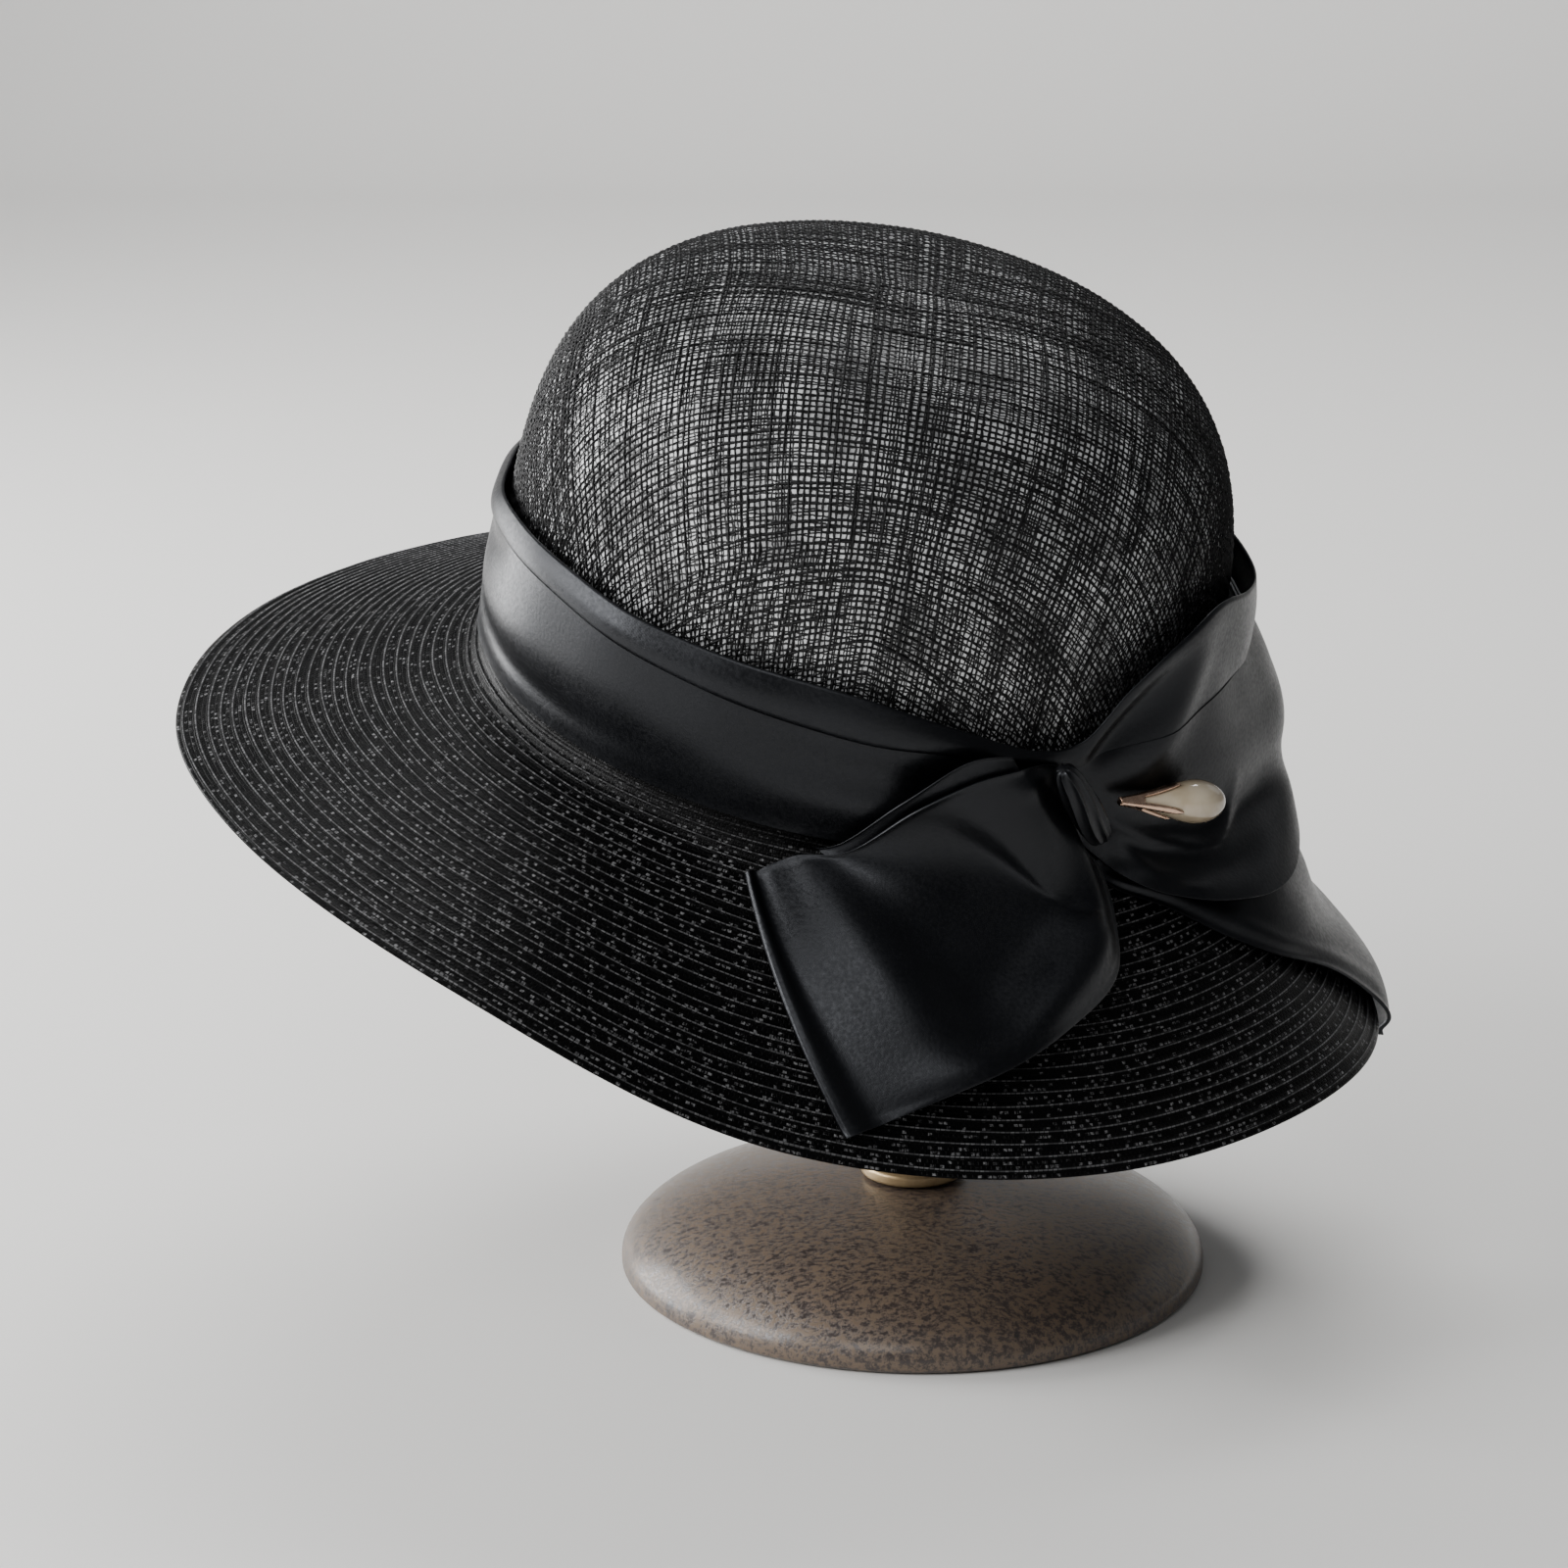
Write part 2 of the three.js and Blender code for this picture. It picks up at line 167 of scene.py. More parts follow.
# %% [markdown]
# Meshes are written straight from numpy arrays. Every piece is closed, since real cloth has a back
# too, and a wall with two faces keeps light from leaking through. Three builders serve the whole
# hat: one takes any faces, one closes a wall between two grids of points, and one closes a stack
# of rings with a point at both ends.

# %% Meshes from arrays
def new_piece(name, points, quads, triangles=(), uv=None, closed=True):
    """A mesh object at the origin from points in metres. The faces of a closed one are turned over
    if the volume inside them, the sum of a · (b × c) over its triangles, is negative. uv has one
    pair for every point, or four for every quad."""
    quads = np.asarray(quads, np.int32).reshape(-1, 4)
    triangles = np.asarray(triangles, np.int32).reshape(-1, 3)
    halves = np.concatenate([quads[:, [0, 1, 2]], quads[:, [0, 2, 3]], triangles])
    a, b, c = (points[halves[:, k]] for k in range(3))
    way = -1 if closed and np.einsum("ij,ij->", a, np.cross(b, c)) < 0 else 1
    quads, triangles = quads[:, ::way], triangles[:, ::way]
    corners = np.concatenate([quads.ravel(), triangles.ravel()])
    starts = np.concatenate([np.arange(len(quads)) * 4,
                             quads.size + np.arange(len(triangles)) * 3]).astype(np.int32)
    mesh = bpy.data.meshes.new(name)
    mesh.vertices.add(len(points))
    mesh.vertices.foreach_set("co", np.asarray(points, np.float32).ravel())
    mesh.loops.add(len(corners))
    mesh.loops.foreach_set("vertex_index", corners)
    mesh.polygons.add(len(starts))
    mesh.polygons.foreach_set("loop_start", starts)
    mesh.polygons.foreach_set("use_smooth", np.full(len(starts), True))
    if uv is not None:
        pairs = uv[:, ::way] if uv.ndim == 3 else uv[corners]
        layer = mesh.uv_layers.new(name="cloth")
        layer.data.foreach_set("uv", np.asarray(pairs, np.float32).ravel())
    mesh.update(calc_edges=True)
    piece = bpy.data.objects.new(name, mesh)
    bpy.context.scene.collection.objects.link(piece)
    return piece


def grid_quads(rows, columns, loop_rows=False, loop_columns=False):
    """Corner numbers of the quads of a grid whose points run along each row."""
    r = np.arange(rows if loop_rows else rows - 1)[:, None]
    c = np.arange(columns if loop_columns else columns - 1)[None, :]
    r1, c1 = (r + 1) % rows, (c + 1) % columns
    quads = np.stack([r * columns + c, r * columns + c1, r1 * columns + c1, r1 * columns + c], -1)
    return quads.reshape(-1, 4)


def wall(name, face, back, uv, loop=False):
    """A closed wall between two grids of the same size. Rows run along the wall, and each row's
    section is the face's line out and the back's line home. Without a loop both ends are closed
    by a strip between face and back. uv is given on the face's grid and is shared by the back."""
    rows, columns = face.shape[:2]
    around = 2 * columns
    quads = grid_quads(rows, around, loop_rows=loop, loop_columns=True)
    if not loop:
        c = np.arange(columns - 1)
        first = np.stack([c, around - 1 - c, around - 2 - c, c + 1], -1)
        quads = np.concatenate([quads, first, first[:, ::-1] + (rows - 1) * around])
    points, pairs = (np.concatenate([out, home[:, ::-1]], axis=1).reshape(rows * around, -1)
                     for out, home in ((face, back), (uv, uv)))
    return new_piece(name, points, quads, uv=pairs)


def closed_rings(name, rings, ends, uv=None):
    """A closed surface from rings of points, and one point past the first ring and the last. uv
    is given on the rings, and is 0 at both ends."""
    rows, around = rings.shape[:2]
    c = np.arange(around)
    after, last_ring = (c + 1) % around, (rows - 1) * around
    first = np.stack([np.full(around, rows * around), after, c], -1)
    last = np.stack([np.full(around, rows * around + 1), last_ring + c, last_ring + after], -1)
    if uv is not None:
        uv = np.concatenate([uv.reshape(-1, 2), np.zeros((2, 2))])
    return new_piece(name, np.concatenate([rings.reshape(-1, 3), ends]),
                     grid_quads(rows, around, loop_columns=True), np.concatenate([first, last]), uv)


def dress(piece, node, material):
    """Finish a piece, put it on the body and let it stand for its construction node."""
    piece.data.materials.append(material)
    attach(piece, "root")
    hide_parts(node)
    triangles = sum(len(p.vertices) - 2 for p in piece.data.polygons)
    print(piece.name, "stands for", node, "with", triangles, "triangles")


# %% [markdown]
# A finish is a Principled shader and a few nodes that feed it. The helpers below wire one node
# each like a function: what goes in is a number, a colour or another node's output, and what comes
# out is an output. Values that never change sit on the shader's own sockets.

# %% Small helpers for shader nodes
def set_inputs(tree, node, inputs):
    """Inputs of a node set to values, or linked from other nodes. A key is the input's name with
    _ for a space, or i and its number."""
    for key, value in inputs.items():
        socket = node.inputs[int(key[1:]) if key[1:].isdigit() else key.replace("_", " ")]
        if isinstance(value, bpy.types.NodeSocket):
            tree.links.new(value, socket)
        else:
            socket.default_value = value


def connect(tree, **sockets):
    """Sockets of the material's Principled shader set or linked."""
    set_inputs(tree, tree.nodes["Principled BSDF"], sockets)


def new_material(name, **sockets):
    """A material with one Principled shader, and its node tree."""
    material = bpy.data.materials.new(name)
    material.use_nodes = True
    connect(material.node_tree, **sockets)
    print("finish:", name)
    return material, material.node_tree


def add_node(tree, kind, settings=None, **inputs):
    """A shader node with its settings and inputs."""
    node = tree.nodes.new("ShaderNode" + kind)
    for key, value in (settings or {}).items():
        setattr(node, key, value)
    set_inputs(tree, node, inputs)
    return node


def object_place(tree):
    """Place on the piece in metres."""
    return add_node(tree, "TexCoord").outputs["Object"]


def cloth_place(tree):
    """Place on the flat cloth in millimetres."""
    return add_node(tree, "UVMap", {"uv_map": "cloth"}).outputs[0]


def calc(tree, operation, a, b=0.0, c=0.0):
    """One sum worked out by a Math node."""
    return add_node(tree, "Math", {"operation": operation}, i0=a, i1=b, i2=c).outputs[0]


def noise(tree, place, scale, detail=2.0, roughness=0.5, output="Fac"):
    """Noise from 0 to 1, or three of them as a colour."""
    return add_node(tree, "TexNoise", Vector=place, Scale=scale, Detail=detail,
                    Roughness=roughness).outputs[output]


def pushed_by(tree, push, size, place):
    """A place moved by a colour times a size."""
    return add_node(tree, "VectorMath", {"operation": "MULTIPLY_ADD"}, i0=push, i1=size,
                    i2=place).outputs[0]


def remap(tree, value, low, high, to_low=0.0, to_high=1.0, kind="LINEAR"):
    """The value with low to high spread over to_low to to_high, and held beyond them."""
    return add_node(tree, "MapRange", {"interpolation_type": kind}, Value=value, From_Min=low,
                    From_Max=high, To_Min=to_low, To_Max=to_high).outputs[0]


def ramp(tree, value, dark, light, low=0.0, high=1.0):
    """A colour that goes from dark to light as the value goes from low to high."""
    node = add_node(tree, "ValToRGB", Fac=value)
    for element, place, colour in zip(node.color_ramp.elements, (low, high), (dark, light)):
        element.position, element.color = place, (*colour, 1)
    return node.outputs[0]


def mixed(tree, share, *colours):
    """The first colour where the share is 0 and the second where it is 1."""
    a, b = (c if isinstance(c, bpy.types.NodeSocket) else (*c, 1) for c in colours)
    return add_node(tree, "Mix", {"data_type": "RGBA"}, i0=share, i6=a, i7=b).outputs[2]


def bump(tree, height, strength, distance, **more):
    """A normal tipped by the slope of a height, where 1 stands for a distance in metres."""
    return add_node(tree, "Bump", Height=height, Strength=strength, Distance=distance,
                    **more).outputs[0]
# %% [markdown]
# ## The crown
#
# The crown is stiffened open-weave cloth in two layers, pulled over a block, so its threads cross
# squarely on top and lean over towards each other at the corners. The threads are modelled, one
# family for the warp and one for the weft, each thread bobbing over and under the other family. A
# thin second layer inside them has its holes painted bright by the material, as painted light seen through
# the cloth.
#
# The profile of the crown is a superellipse dome on a short wall. Distance is measured down it
# from the top, because that is how cloth is laid over a block.

# %% The profile of the crown
profile_steps, wall_steps = 600, 39
climb = np.linspace(math.pi / 2, 0, profile_steps)
dome_height = crown_straight + (crown_height - crown_straight) * np.sin(climb) ** (2 / crown_roundness)
wall_height = np.linspace(crown_straight, crown_seam, wall_steps + 1)[1:]
profile_height = np.concatenate([dome_height, wall_height])
profile_width = np.concatenate([np.cos(climb) ** (2 / crown_roundness), np.ones(wall_steps)])
profile_width *= 1 - crown_taper * np.minimum(profile_height / crown_straight, 1)


def down_profile(radius):
    """Distance from the top to each point of the profile, for a crown of this half width."""
    step = np.hypot(np.diff(profile_width * radius), np.diff(profile_height))
    return np.concatenate([[0], np.cumsum(step)])


down_long, down_short = down_profile(half_length), down_profile(half_width)
mean_radius = (half_length + half_width) / 2
slope_out = np.gradient(profile_width * mean_radius)
slope_up = np.gradient(profile_height)
slope_size = np.hypot(slope_out, slope_up)
profile_tilt_out, profile_tilt_up = -slope_up / slope_size, slope_out / slope_size
profile_index = np.arange(len(profile_height), dtype=float)


def long_share(azimuth):
    """How much of the long radius an azimuth sees: 1 along the oval, 0 across it."""
    half = np.hypot(half_length * np.cos(azimuth), half_width * np.sin(azimuth))
    return np.clip((half - half_width) / (half_length - half_width), 0, 1)


def crown_point(azimuth, down, off):
    """Point of the crown at an azimuth in radians and a distance down from the top, set off
    square to the cloth."""
    share = long_share(azimuth)
    at = (share * np.interp(down, down_long, profile_index)
          + (1 - share) * np.interp(down, down_short, profile_index))
    width, height, out, up = (np.interp(at, profile_index, line) for line in (
        profile_width, profile_height, profile_tilt_out, profile_tilt_up))
    normal = ellipse_normal(azimuth)
    return np.stack([
        half_length * width * np.cos(azimuth) + crown_lean * height + off * out * normal[..., 0],
        half_width * width * np.sin(azimuth) + off * out * normal[..., 1],
        height + off * up], -1)


def down_limit(azimuth):
    """Distance from the top to the seam, at an azimuth."""
    share = long_share(azimuth)
    return share * down_long[-1] + (1 - share) * down_short[-1]


print("cloth from the top to the seam:", round(down_long[-1]), "and", round(down_short[-1]), "mm")

# %% [markdown]
# A flat net is laid over the crown by giving each crossing (u, v) an azimuth and a distance down.
# On the flat top these are the polar ones. Past the edge the threads of the near axis keep their
# spacing and hang straight, while the distance turns from the circle's |r| into |u| + |v|, so the
# squares of the net lean into diamonds at the corners, as the real cloth does.

# %% From the flat net to the crown
top_radius = 91.0
rounding_ends, lean_starts, lean_ends = (50, 150), 0.75, 1.1


def net_to_crown(u, v):
    """Azimuth and distance down of net point (u, v), in millimetres from the middle of the top.
    Distance: (|u|^p + |v|^p)^(1/p) with p from 2 on top to 1.1 on the wall. Azimuth off the near
    axis: (π/4)(1 − (1 − q)^k) for the ratio q of the smaller to the larger, k growing with depth."""
    large = np.maximum(np.maximum(abs(u), abs(v)), 1e-6)
    small = np.minimum(abs(u), abs(v))
    q = small / large
    power = 2 - 0.9 * smoothstep(*rounding_ends, np.hypot(u, v))
    down = large * (1 + q ** power) ** (1 / power)
    k = 4 / math.pi * np.maximum(large / top_radius, 1)
    hung = math.pi / 4 * (1 - (1 - q) ** k)
    lean = np.arctan(q) + (hung - np.arctan(q)) * smoothstep(lean_starts, lean_ends, large / top_radius)
    axis = np.where(abs(u) >= abs(v), np.where(u >= 0, 0, math.pi), np.sign(v) * math.pi / 2)
    turn = np.where(abs(u) >= abs(v), np.sign(u) * np.sign(v), -np.sign(u) * np.sign(v))
    return axis + turn * lean, down


# %% Threads
thread_pitch, thread_radius, thread_bob = 1.72, 0.31, 0.22
thread_sides, thread_flatness = 3, 0.6
net_depth = -0.45                            # the net's middle, below the outside of the crown
stray, sway_limit, slub_share, slub_size = 0.16, 0.45, 0.07, 1.45
rng = np.random.default_rng(7)
net_steps = int(down_long[-1] / thread_pitch) + 1
net_axis = np.arange(-net_steps, net_steps + 1) * thread_pitch


def slubbed(count):
    """Thickness of every thread along its length: a thread's own, times slow swells."""
    own = rng.uniform(0.8, 1.2, (count, 1)) * np.where(rng.random((count, 1)) < slub_share, slub_size, 1)
    swell = rng.normal(0, 1, (count, count))
    kernel = np.hanning(19)
    swell = np.apply_along_axis(lambda row: np.convolve(row, kernel / kernel.sum(), "same"), 1, swell)
    return np.clip(own * (1 + 0.9 * swell), 0.6, 2.1)


def thread_family(name, along_v):
    """All threads of one family. Each is a three-sided strand with one ring at every crossing:
    centre + radius · (cos t · across + 0.6 sin t · up), the centre bobbing ± to pass over and under."""
    count = len(net_axis)
    sway = np.cumsum(rng.normal(0, 0.05, (count, count)), axis=1)
    sway -= sway.mean(1, keepdims=True)
    fixed = net_axis[:, None] + np.clip(sway, -sway_limit, sway_limit) + rng.normal(0, stray, (count, 1))
    run = np.broadcast_to(net_axis[None, :], (count, count))
    u, v = (fixed, run) if along_v else (run, fixed)
    azimuth, down = net_to_crown(u, v)
    inside = down < down_limit(azimuth)
    over = np.where((np.arange(count)[:, None] + np.arange(count)[None, :]) % 2 == 0, 1, -1)
    bob = thread_bob * over * (1 if along_v else -1)
    middle = crown_point(azimuth, down, net_depth + bob)
    up = crown_point(azimuth, down, net_depth + bob + 1) - middle
    forward = np.gradient(middle, axis=1)
    across = np.cross(forward, up)
    across /= np.linalg.norm(across, axis=-1, keepdims=True) + 1e-9
    radius = (thread_radius * slubbed(count))[..., None]
    turns = np.arange(thread_sides) * 2 * math.pi / thread_sides + math.pi / 2
    rings = np.stack([middle + radius * (math.cos(t) * across + thread_flatness * math.sin(t) * up)
                      for t in turns], 2)
    number = np.arange(count * count * thread_sides).reshape(count, count, thread_sides)
    joined = inside[:, :-1] & inside[:, 1:]
    a, b = number[:, :-1][joined], number[:, 1:][joined]
    nxt = np.roll(np.arange(thread_sides), -1)
    quads = np.stack([a, a[:, nxt], b[:, nxt], b], -1).reshape(-1, 4)
    first = number[:, 1:-1][inside[:, 1:-1] & ~inside[:, :-2] & inside[:, 2:]]
    last = number[:, 1:-1][inside[:, 1:-1] & ~inside[:, 2:] & inside[:, :-2]]
    caps = np.concatenate([first[:, ::-1], last])
    used, where = np.unique(np.concatenate([quads.ravel(), caps.ravel()]), return_inverse=True)
    points = placed(rings.reshape(-1, 3)[used])
    return new_piece(name, points, where[:quads.size], where[quads.size:])


warp = thread_family("crown_warp", True)
weft = thread_family("crown_weft", False)

# %% [markdown]
# The second layer is a thin closed shell just inside the threads, built on the same net so that
# its painted weave can have its own pitch. Two weaves with slightly different pitches give the
# soft dark and light blotches that open cloth in two layers shows; the light in them is the
# painted light of the layer's holes.

# %% Second layer of the crown
layer_face, layer_wall = -0.66, 0.22
layer_rows, layer_columns = 90, 180


def crown_layer():
    """A closed shell: the face's rings from the top down to the seam, then the back's rings in
    the other order. UV is the place on the flat net in millimetres, down · (cos a, sin a)."""
    azimuth = np.linspace(-math.pi, math.pi, layer_columns, endpoint=False)[None, :]
    down = np.linspace(0, 1, layer_rows)[:, None] ** 0.8 * down_limit(azimuth)
    face, back = (placed(crown_point(azimuth, down, off)) for off in (layer_face, layer_face - layer_wall))
    flat = down[1:, :, None] * np.stack([np.cos(azimuth), np.sin(azimuth)], -1)
    return closed_rings("crown_inner_layer", np.concatenate([face[1:], back[:0:-1]]),
                        [face[0, 0], back[0, 0]], np.concatenate([flat, flat[::-1]]))


inner_layer = crown_layer()

# %% [markdown]
# The threads are nearly black, with a little noise so that no two look alike. The second layer is
# seen through them: its threads are dark, and its holes are painted bright, as painted light that
# stands for the light coming through the cloth, in patches of painted light that are brighter and
# dimmer at random. The weave is the distance to the nearest thread of either family, on a place that
# wobbles.

# %% Finishes of the crown
layer_pitch, half_thread, thread_blur = 1.66, 0.17, 0.04

thread_paint, tree = new_material("black crown thread", Roughness=0.6, Specular_IOR_Level=0.25)
fleck = noise(tree, object_place(tree), 900.0)
connect(tree, Base_Color=ramp(tree, fleck, (0.002, 0.002, 0.0022), (0.012, 0.012, 0.013), 0.35, 0.72))

layer_with_painted_light, tree = new_material("crown second layer, painted see-through light", Roughness=0.5)
net = cloth_place(tree)
wobbly = pushed_by(tree, noise(tree, net, 0.35, 3.0, output="Color"), (1.6, 1.6, 0), net)
both = add_node(tree, "SeparateXYZ", i0=wobbly).outputs
nearest = calc(tree, "MINIMUM", *(
    calc(tree, "PINGPONG", calc(tree, "DIVIDE", both[axis], layer_pitch), 0.5) for axis in (0, 1)))
holes = remap(tree, nearest, half_thread - thread_blur, half_thread + thread_blur)
# Patches of painted light: the holes are brighter or dimmer, as if more or less light came through.
see_through_light_patches = remap(tree, noise(tree, net, 0.045, 5.0, 0.68), 0.36, 0.62, 0.3, 1.0, "SMOOTHSTEP")
# The light end is painted light seen through the holes; the dark end is the layer's own black threads.
connect(tree, Base_Color=ramp(
    tree, calc(tree, "MULTIPLY", holes, see_through_light_patches), (0.004, 0.004, 0.0045), (0.8, 0.81, 0.82)))

dress(inner_layer, "crown", layer_with_painted_light)
for threads in (warp, weft):
    dress(threads, "crown", thread_paint)

# %% [markdown]
# ## The brim
#
# The brim is one long straw braid, sewn round and round in a spiral, each row lapping the one
# before. A row is about 3.4 mm wide: it rises in a thin lip where it laps, then falls away in a
# flat woven band. The rows are real relief, and the weave inside a row is painted, because its
# cells are only a millimetre or two across.

# %% Rows of braid
brim_root = 7.0                              # the first row starts this far up the crown's wall
row_pitch = 3.4
row_count = round((brim_width + brim_root) / row_pitch)
row_samples = np.array([0.0, 0.14, 0.28, 0.5, 0.75])
lip_place, lip_width, lip_height, swell_height = 0.14, 0.1, 0.62, 0.28
face_depth, back_inset, plain_edge = 0.35, 0.3, 2.0
brim_columns, back_step = 600, 6


def braid_relief(share, azimuth):
    """Height of a row at its share across: a narrow lip exp(−((s − 0.14)/0.1)²) and a low swell
    sin(π s) for the woven band, both breathing a little round the hat."""
    breathe = 1 + 0.18 * np.sin(7 * azimuth + share * 3) + 0.1 * np.sin(23 * azimuth)
    return breathe * (lip_height * np.exp(-((share - lip_place) / lip_width) ** 2)
                      + swell_height * np.sin(math.pi * share))


def brim_mesh():
    """The brim as a closed ring: relief on the face, a smooth lining on the back. U runs round
    each row in millimetres and V across the rows, so every braid keeps its own cells."""
    azimuth = np.linspace(-180, 180, brim_columns, endpoint=False)[:, None]
    angle = np.radians(azimuth)
    share = np.tile(row_samples, row_count)
    run = brim_root - (np.repeat(np.arange(row_count), len(row_samples)) + share) * row_pitch
    run = np.append(run, -brim_width)
    drift = 0.25 * np.sin(3 * angle + row_count * 0.7) + 0.18 * np.sin(11 * angle + 1.3 * run / row_pitch)
    face = hat_point(azimuth, run + drift * (run > -brim_width + plain_edge),
                     braid_relief(np.append(share, 0.0), angle) - face_depth)
    back_run = np.linspace(brim_root, -brim_width + back_inset, len(run))[::back_step]
    ring = placed(np.concatenate([face, hat_point(azimuth, back_run[::-1], -brim_wall)], axis=1))
    around = ring.shape[1]
    here = np.concatenate([run, np.linspace(-brim_width, brim_root, len(back_run))])
    there = np.roll(here, -1)
    row = np.clip(np.floor((brim_root - (here + there) / 2) / row_pitch), 0, row_count - 1)
    length = 2 * math.pi * (mean_radius + 5 + row * row_pitch * 0.88)
    u = np.arange(brim_columns + 1)[:, None] / brim_columns * length
    corners = [np.stack(np.broadcast_arrays(*pair), -1) for pair in (
        (u[:-1], -here), (u[:-1], -there), (u[1:], -there), (u[1:], -here))]
    return new_piece("brim_braid", ring.reshape(-1, 3),
                     grid_quads(brim_columns, around, loop_rows=True, loop_columns=True),
                     uv=np.stack(corners, 2).reshape(-1, 4, 2))


brim = brim_mesh()

# %% [markdown]
# The straw is black and glossy, and its sparkle is painted: a brick pattern gives the cells, patches
# of noise choose which of them get a painted glint, and the lip of each row is a beaded line of
# painted highlight. The first rows, which are tucked under the band, get painted shade from it.

# %% Straw braid finish
braid_paint, tree = new_material("black straw braid", Roughness=0.38, Specular_IOR_Level=0.1)
where = cloth_place(tree)
across = add_node(tree, "SeparateXYZ", i0=where).outputs[1]
share = calc(tree, "FRACT", calc(tree, "DIVIDE", calc(tree, "ADD", across, brim_root), row_pitch))
cells = add_node(tree, "TexBrick", {"offset": 0.5, "squash": 1.0}, Vector=where, Scale=1.0,
                 Color1=(1, 1, 1, 1), Color2=(0, 0, 0, 1), Mortar=(0, 0, 0, 1), Mortar_Size=0.22,
                 Mortar_Smooth=0.5, Bias=0.0, Brick_Width=1.45, Row_Height=1.133)
cell = add_node(tree, "RGBToBW", i0=cells.outputs["Color"]).outputs[0]
streak = noise(tree, where, 1.3, 3.0)
woven = remap(tree, share, 0.22, 0.4, kind="SMOOTHSTEP")
# Painted glints: raised cells of the woven part, in patches chosen by the noise, are painted bright.
bright = calc(tree, "MULTIPLY", remap(tree, cell, 0.56, 0.95, kind="SMOOTHSTEP"), woven)
painted_glint_specks = calc(tree, "MULTIPLY", bright, remap(tree, streak, 0.36, 0.62))
# The lip of each row is a beaded line of painted highlight.
from_lip = calc(tree, "ABSOLUTE", calc(tree, "SUBTRACT", share, lip_place))
lip = calc(tree, "MULTIPLY", remap(tree, from_lip, 0.12, 0.02, kind="SMOOTHSTEP"),
           remap(tree, cell, 0, 1, 0.3, 0.85))
# Painted glints and lip highlight, dimmed to 0.35 as painted shade on the first rows under the band.
light = calc(tree, "MULTIPLY", calc(tree, "MAXIMUM", painted_glint_specks, lip), remap(tree, across, -3, 9, 0.35))
raised = calc(tree, "ADD", calc(tree, "MULTIPLY", cell, woven), calc(tree, "MULTIPLY", streak, 0.3))
connect(tree, Base_Color=ramp(tree, light, (0.0012, 0.0012, 0.0014), (0.22, 0.22, 0.225), 0.12),
        Normal=bump(tree, raised, 0.9, 0.0006))

dress(brim, "brim", braid_paint)

# %% [markdown]
# ## Satin
#
# Band, tails and knot are one wide satin ribbon, folded double. Satin shows its folds by long soft
# highlights, so its finish is a dark base with a broad gloss, and only a faint mottling, grain and
# rib break it, because a stronger bump turns satin into leather.

# %% Satin finish
satin_paint, tree = new_material("black satin", Specular_IOR_Level=0.34, Specular_Tint=(0.9, 0.93, 1, 1))
spot = object_place(tree)
mottle, grain = noise(tree, spot, 45.0), noise(tree, spot, 1000.0, 1.0)
ribs = add_node(tree, "TexWave", {"bands_direction": "Y"}, Vector=cloth_place(tree), Scale=0.9)
rib = ribs.outputs["Fac"]
soft = bump(tree, mottle, 0.14, 0.0012)
connect(tree, Base_Color=ramp(tree, mottle, (0.0012, 0.0013, 0.0018), (0.003, 0.0033, 0.0042), 0.3, 0.75),
        Roughness=remap(tree, calc(tree, "MULTIPLY_ADD", grain, 1.6, mottle), 0.9, 1.7, 0.3, 0.45),
        Normal=bump(tree, calc(tree, "MULTIPLY_ADD", rib, 0.12, grain), 0.5, 0.00008, Normal=soft))
# %% [markdown]
# A fold is a ridge or a hollow that follows a line across the ribbon. The line is given by a few
# points, in degrees round the hat and millimetres of run, and the cloth rises along it by a
# height times exp(−(distance / width)²), fading at both ends.

# %% Folds
arc_per_degree = math.radians(1) * mean_radius


def add_folds(across, up, folds, scale=(arc_per_degree, 1.0)):
    """Sum of all the folds at each point; scale turns places into millimetres. A fold is drawn
    with soft dots along its line, h · exp(−(d / w)²) · step / (w √π), which add up to a ridge of
    height h and width w without corners."""
    total = np.zeros(np.broadcast(across, up).shape)
    for fold in folds:
        fold = np.asarray(fold, float) * (*scale, 1, 1)
        length = np.hypot(*np.diff(fold[:, :2], axis=0).T).sum()
        count = max(int(length / (0.5 * fold[:, 2].min())), 8)
        dots = row_at(np.column_stack([np.arange(len(fold)), fold]),
                      np.linspace(0, len(fold) - 1, count))[:, 1:]
        steps = np.hypot(np.gradient(dots[:, 0]), np.gradient(dots[:, 1]))
        for (x, y, width, height), step in zip(dots, steps):
            far = ((across * scale[0] - x) ** 2 + (up * scale[1] - y) ** 2) / width ** 2
            total += height * step / (width * math.sqrt(math.pi)) * np.exp(-far)
    return total


# %% [markdown]
# ## The band
#
# The ribbon goes round the crown as a broad lower fold with a narrow upper fold lapped over it.
# At the bow both folds draw together into the knot, and on the far side of the knot they spring
# out again as a full loop that stands off the brim.

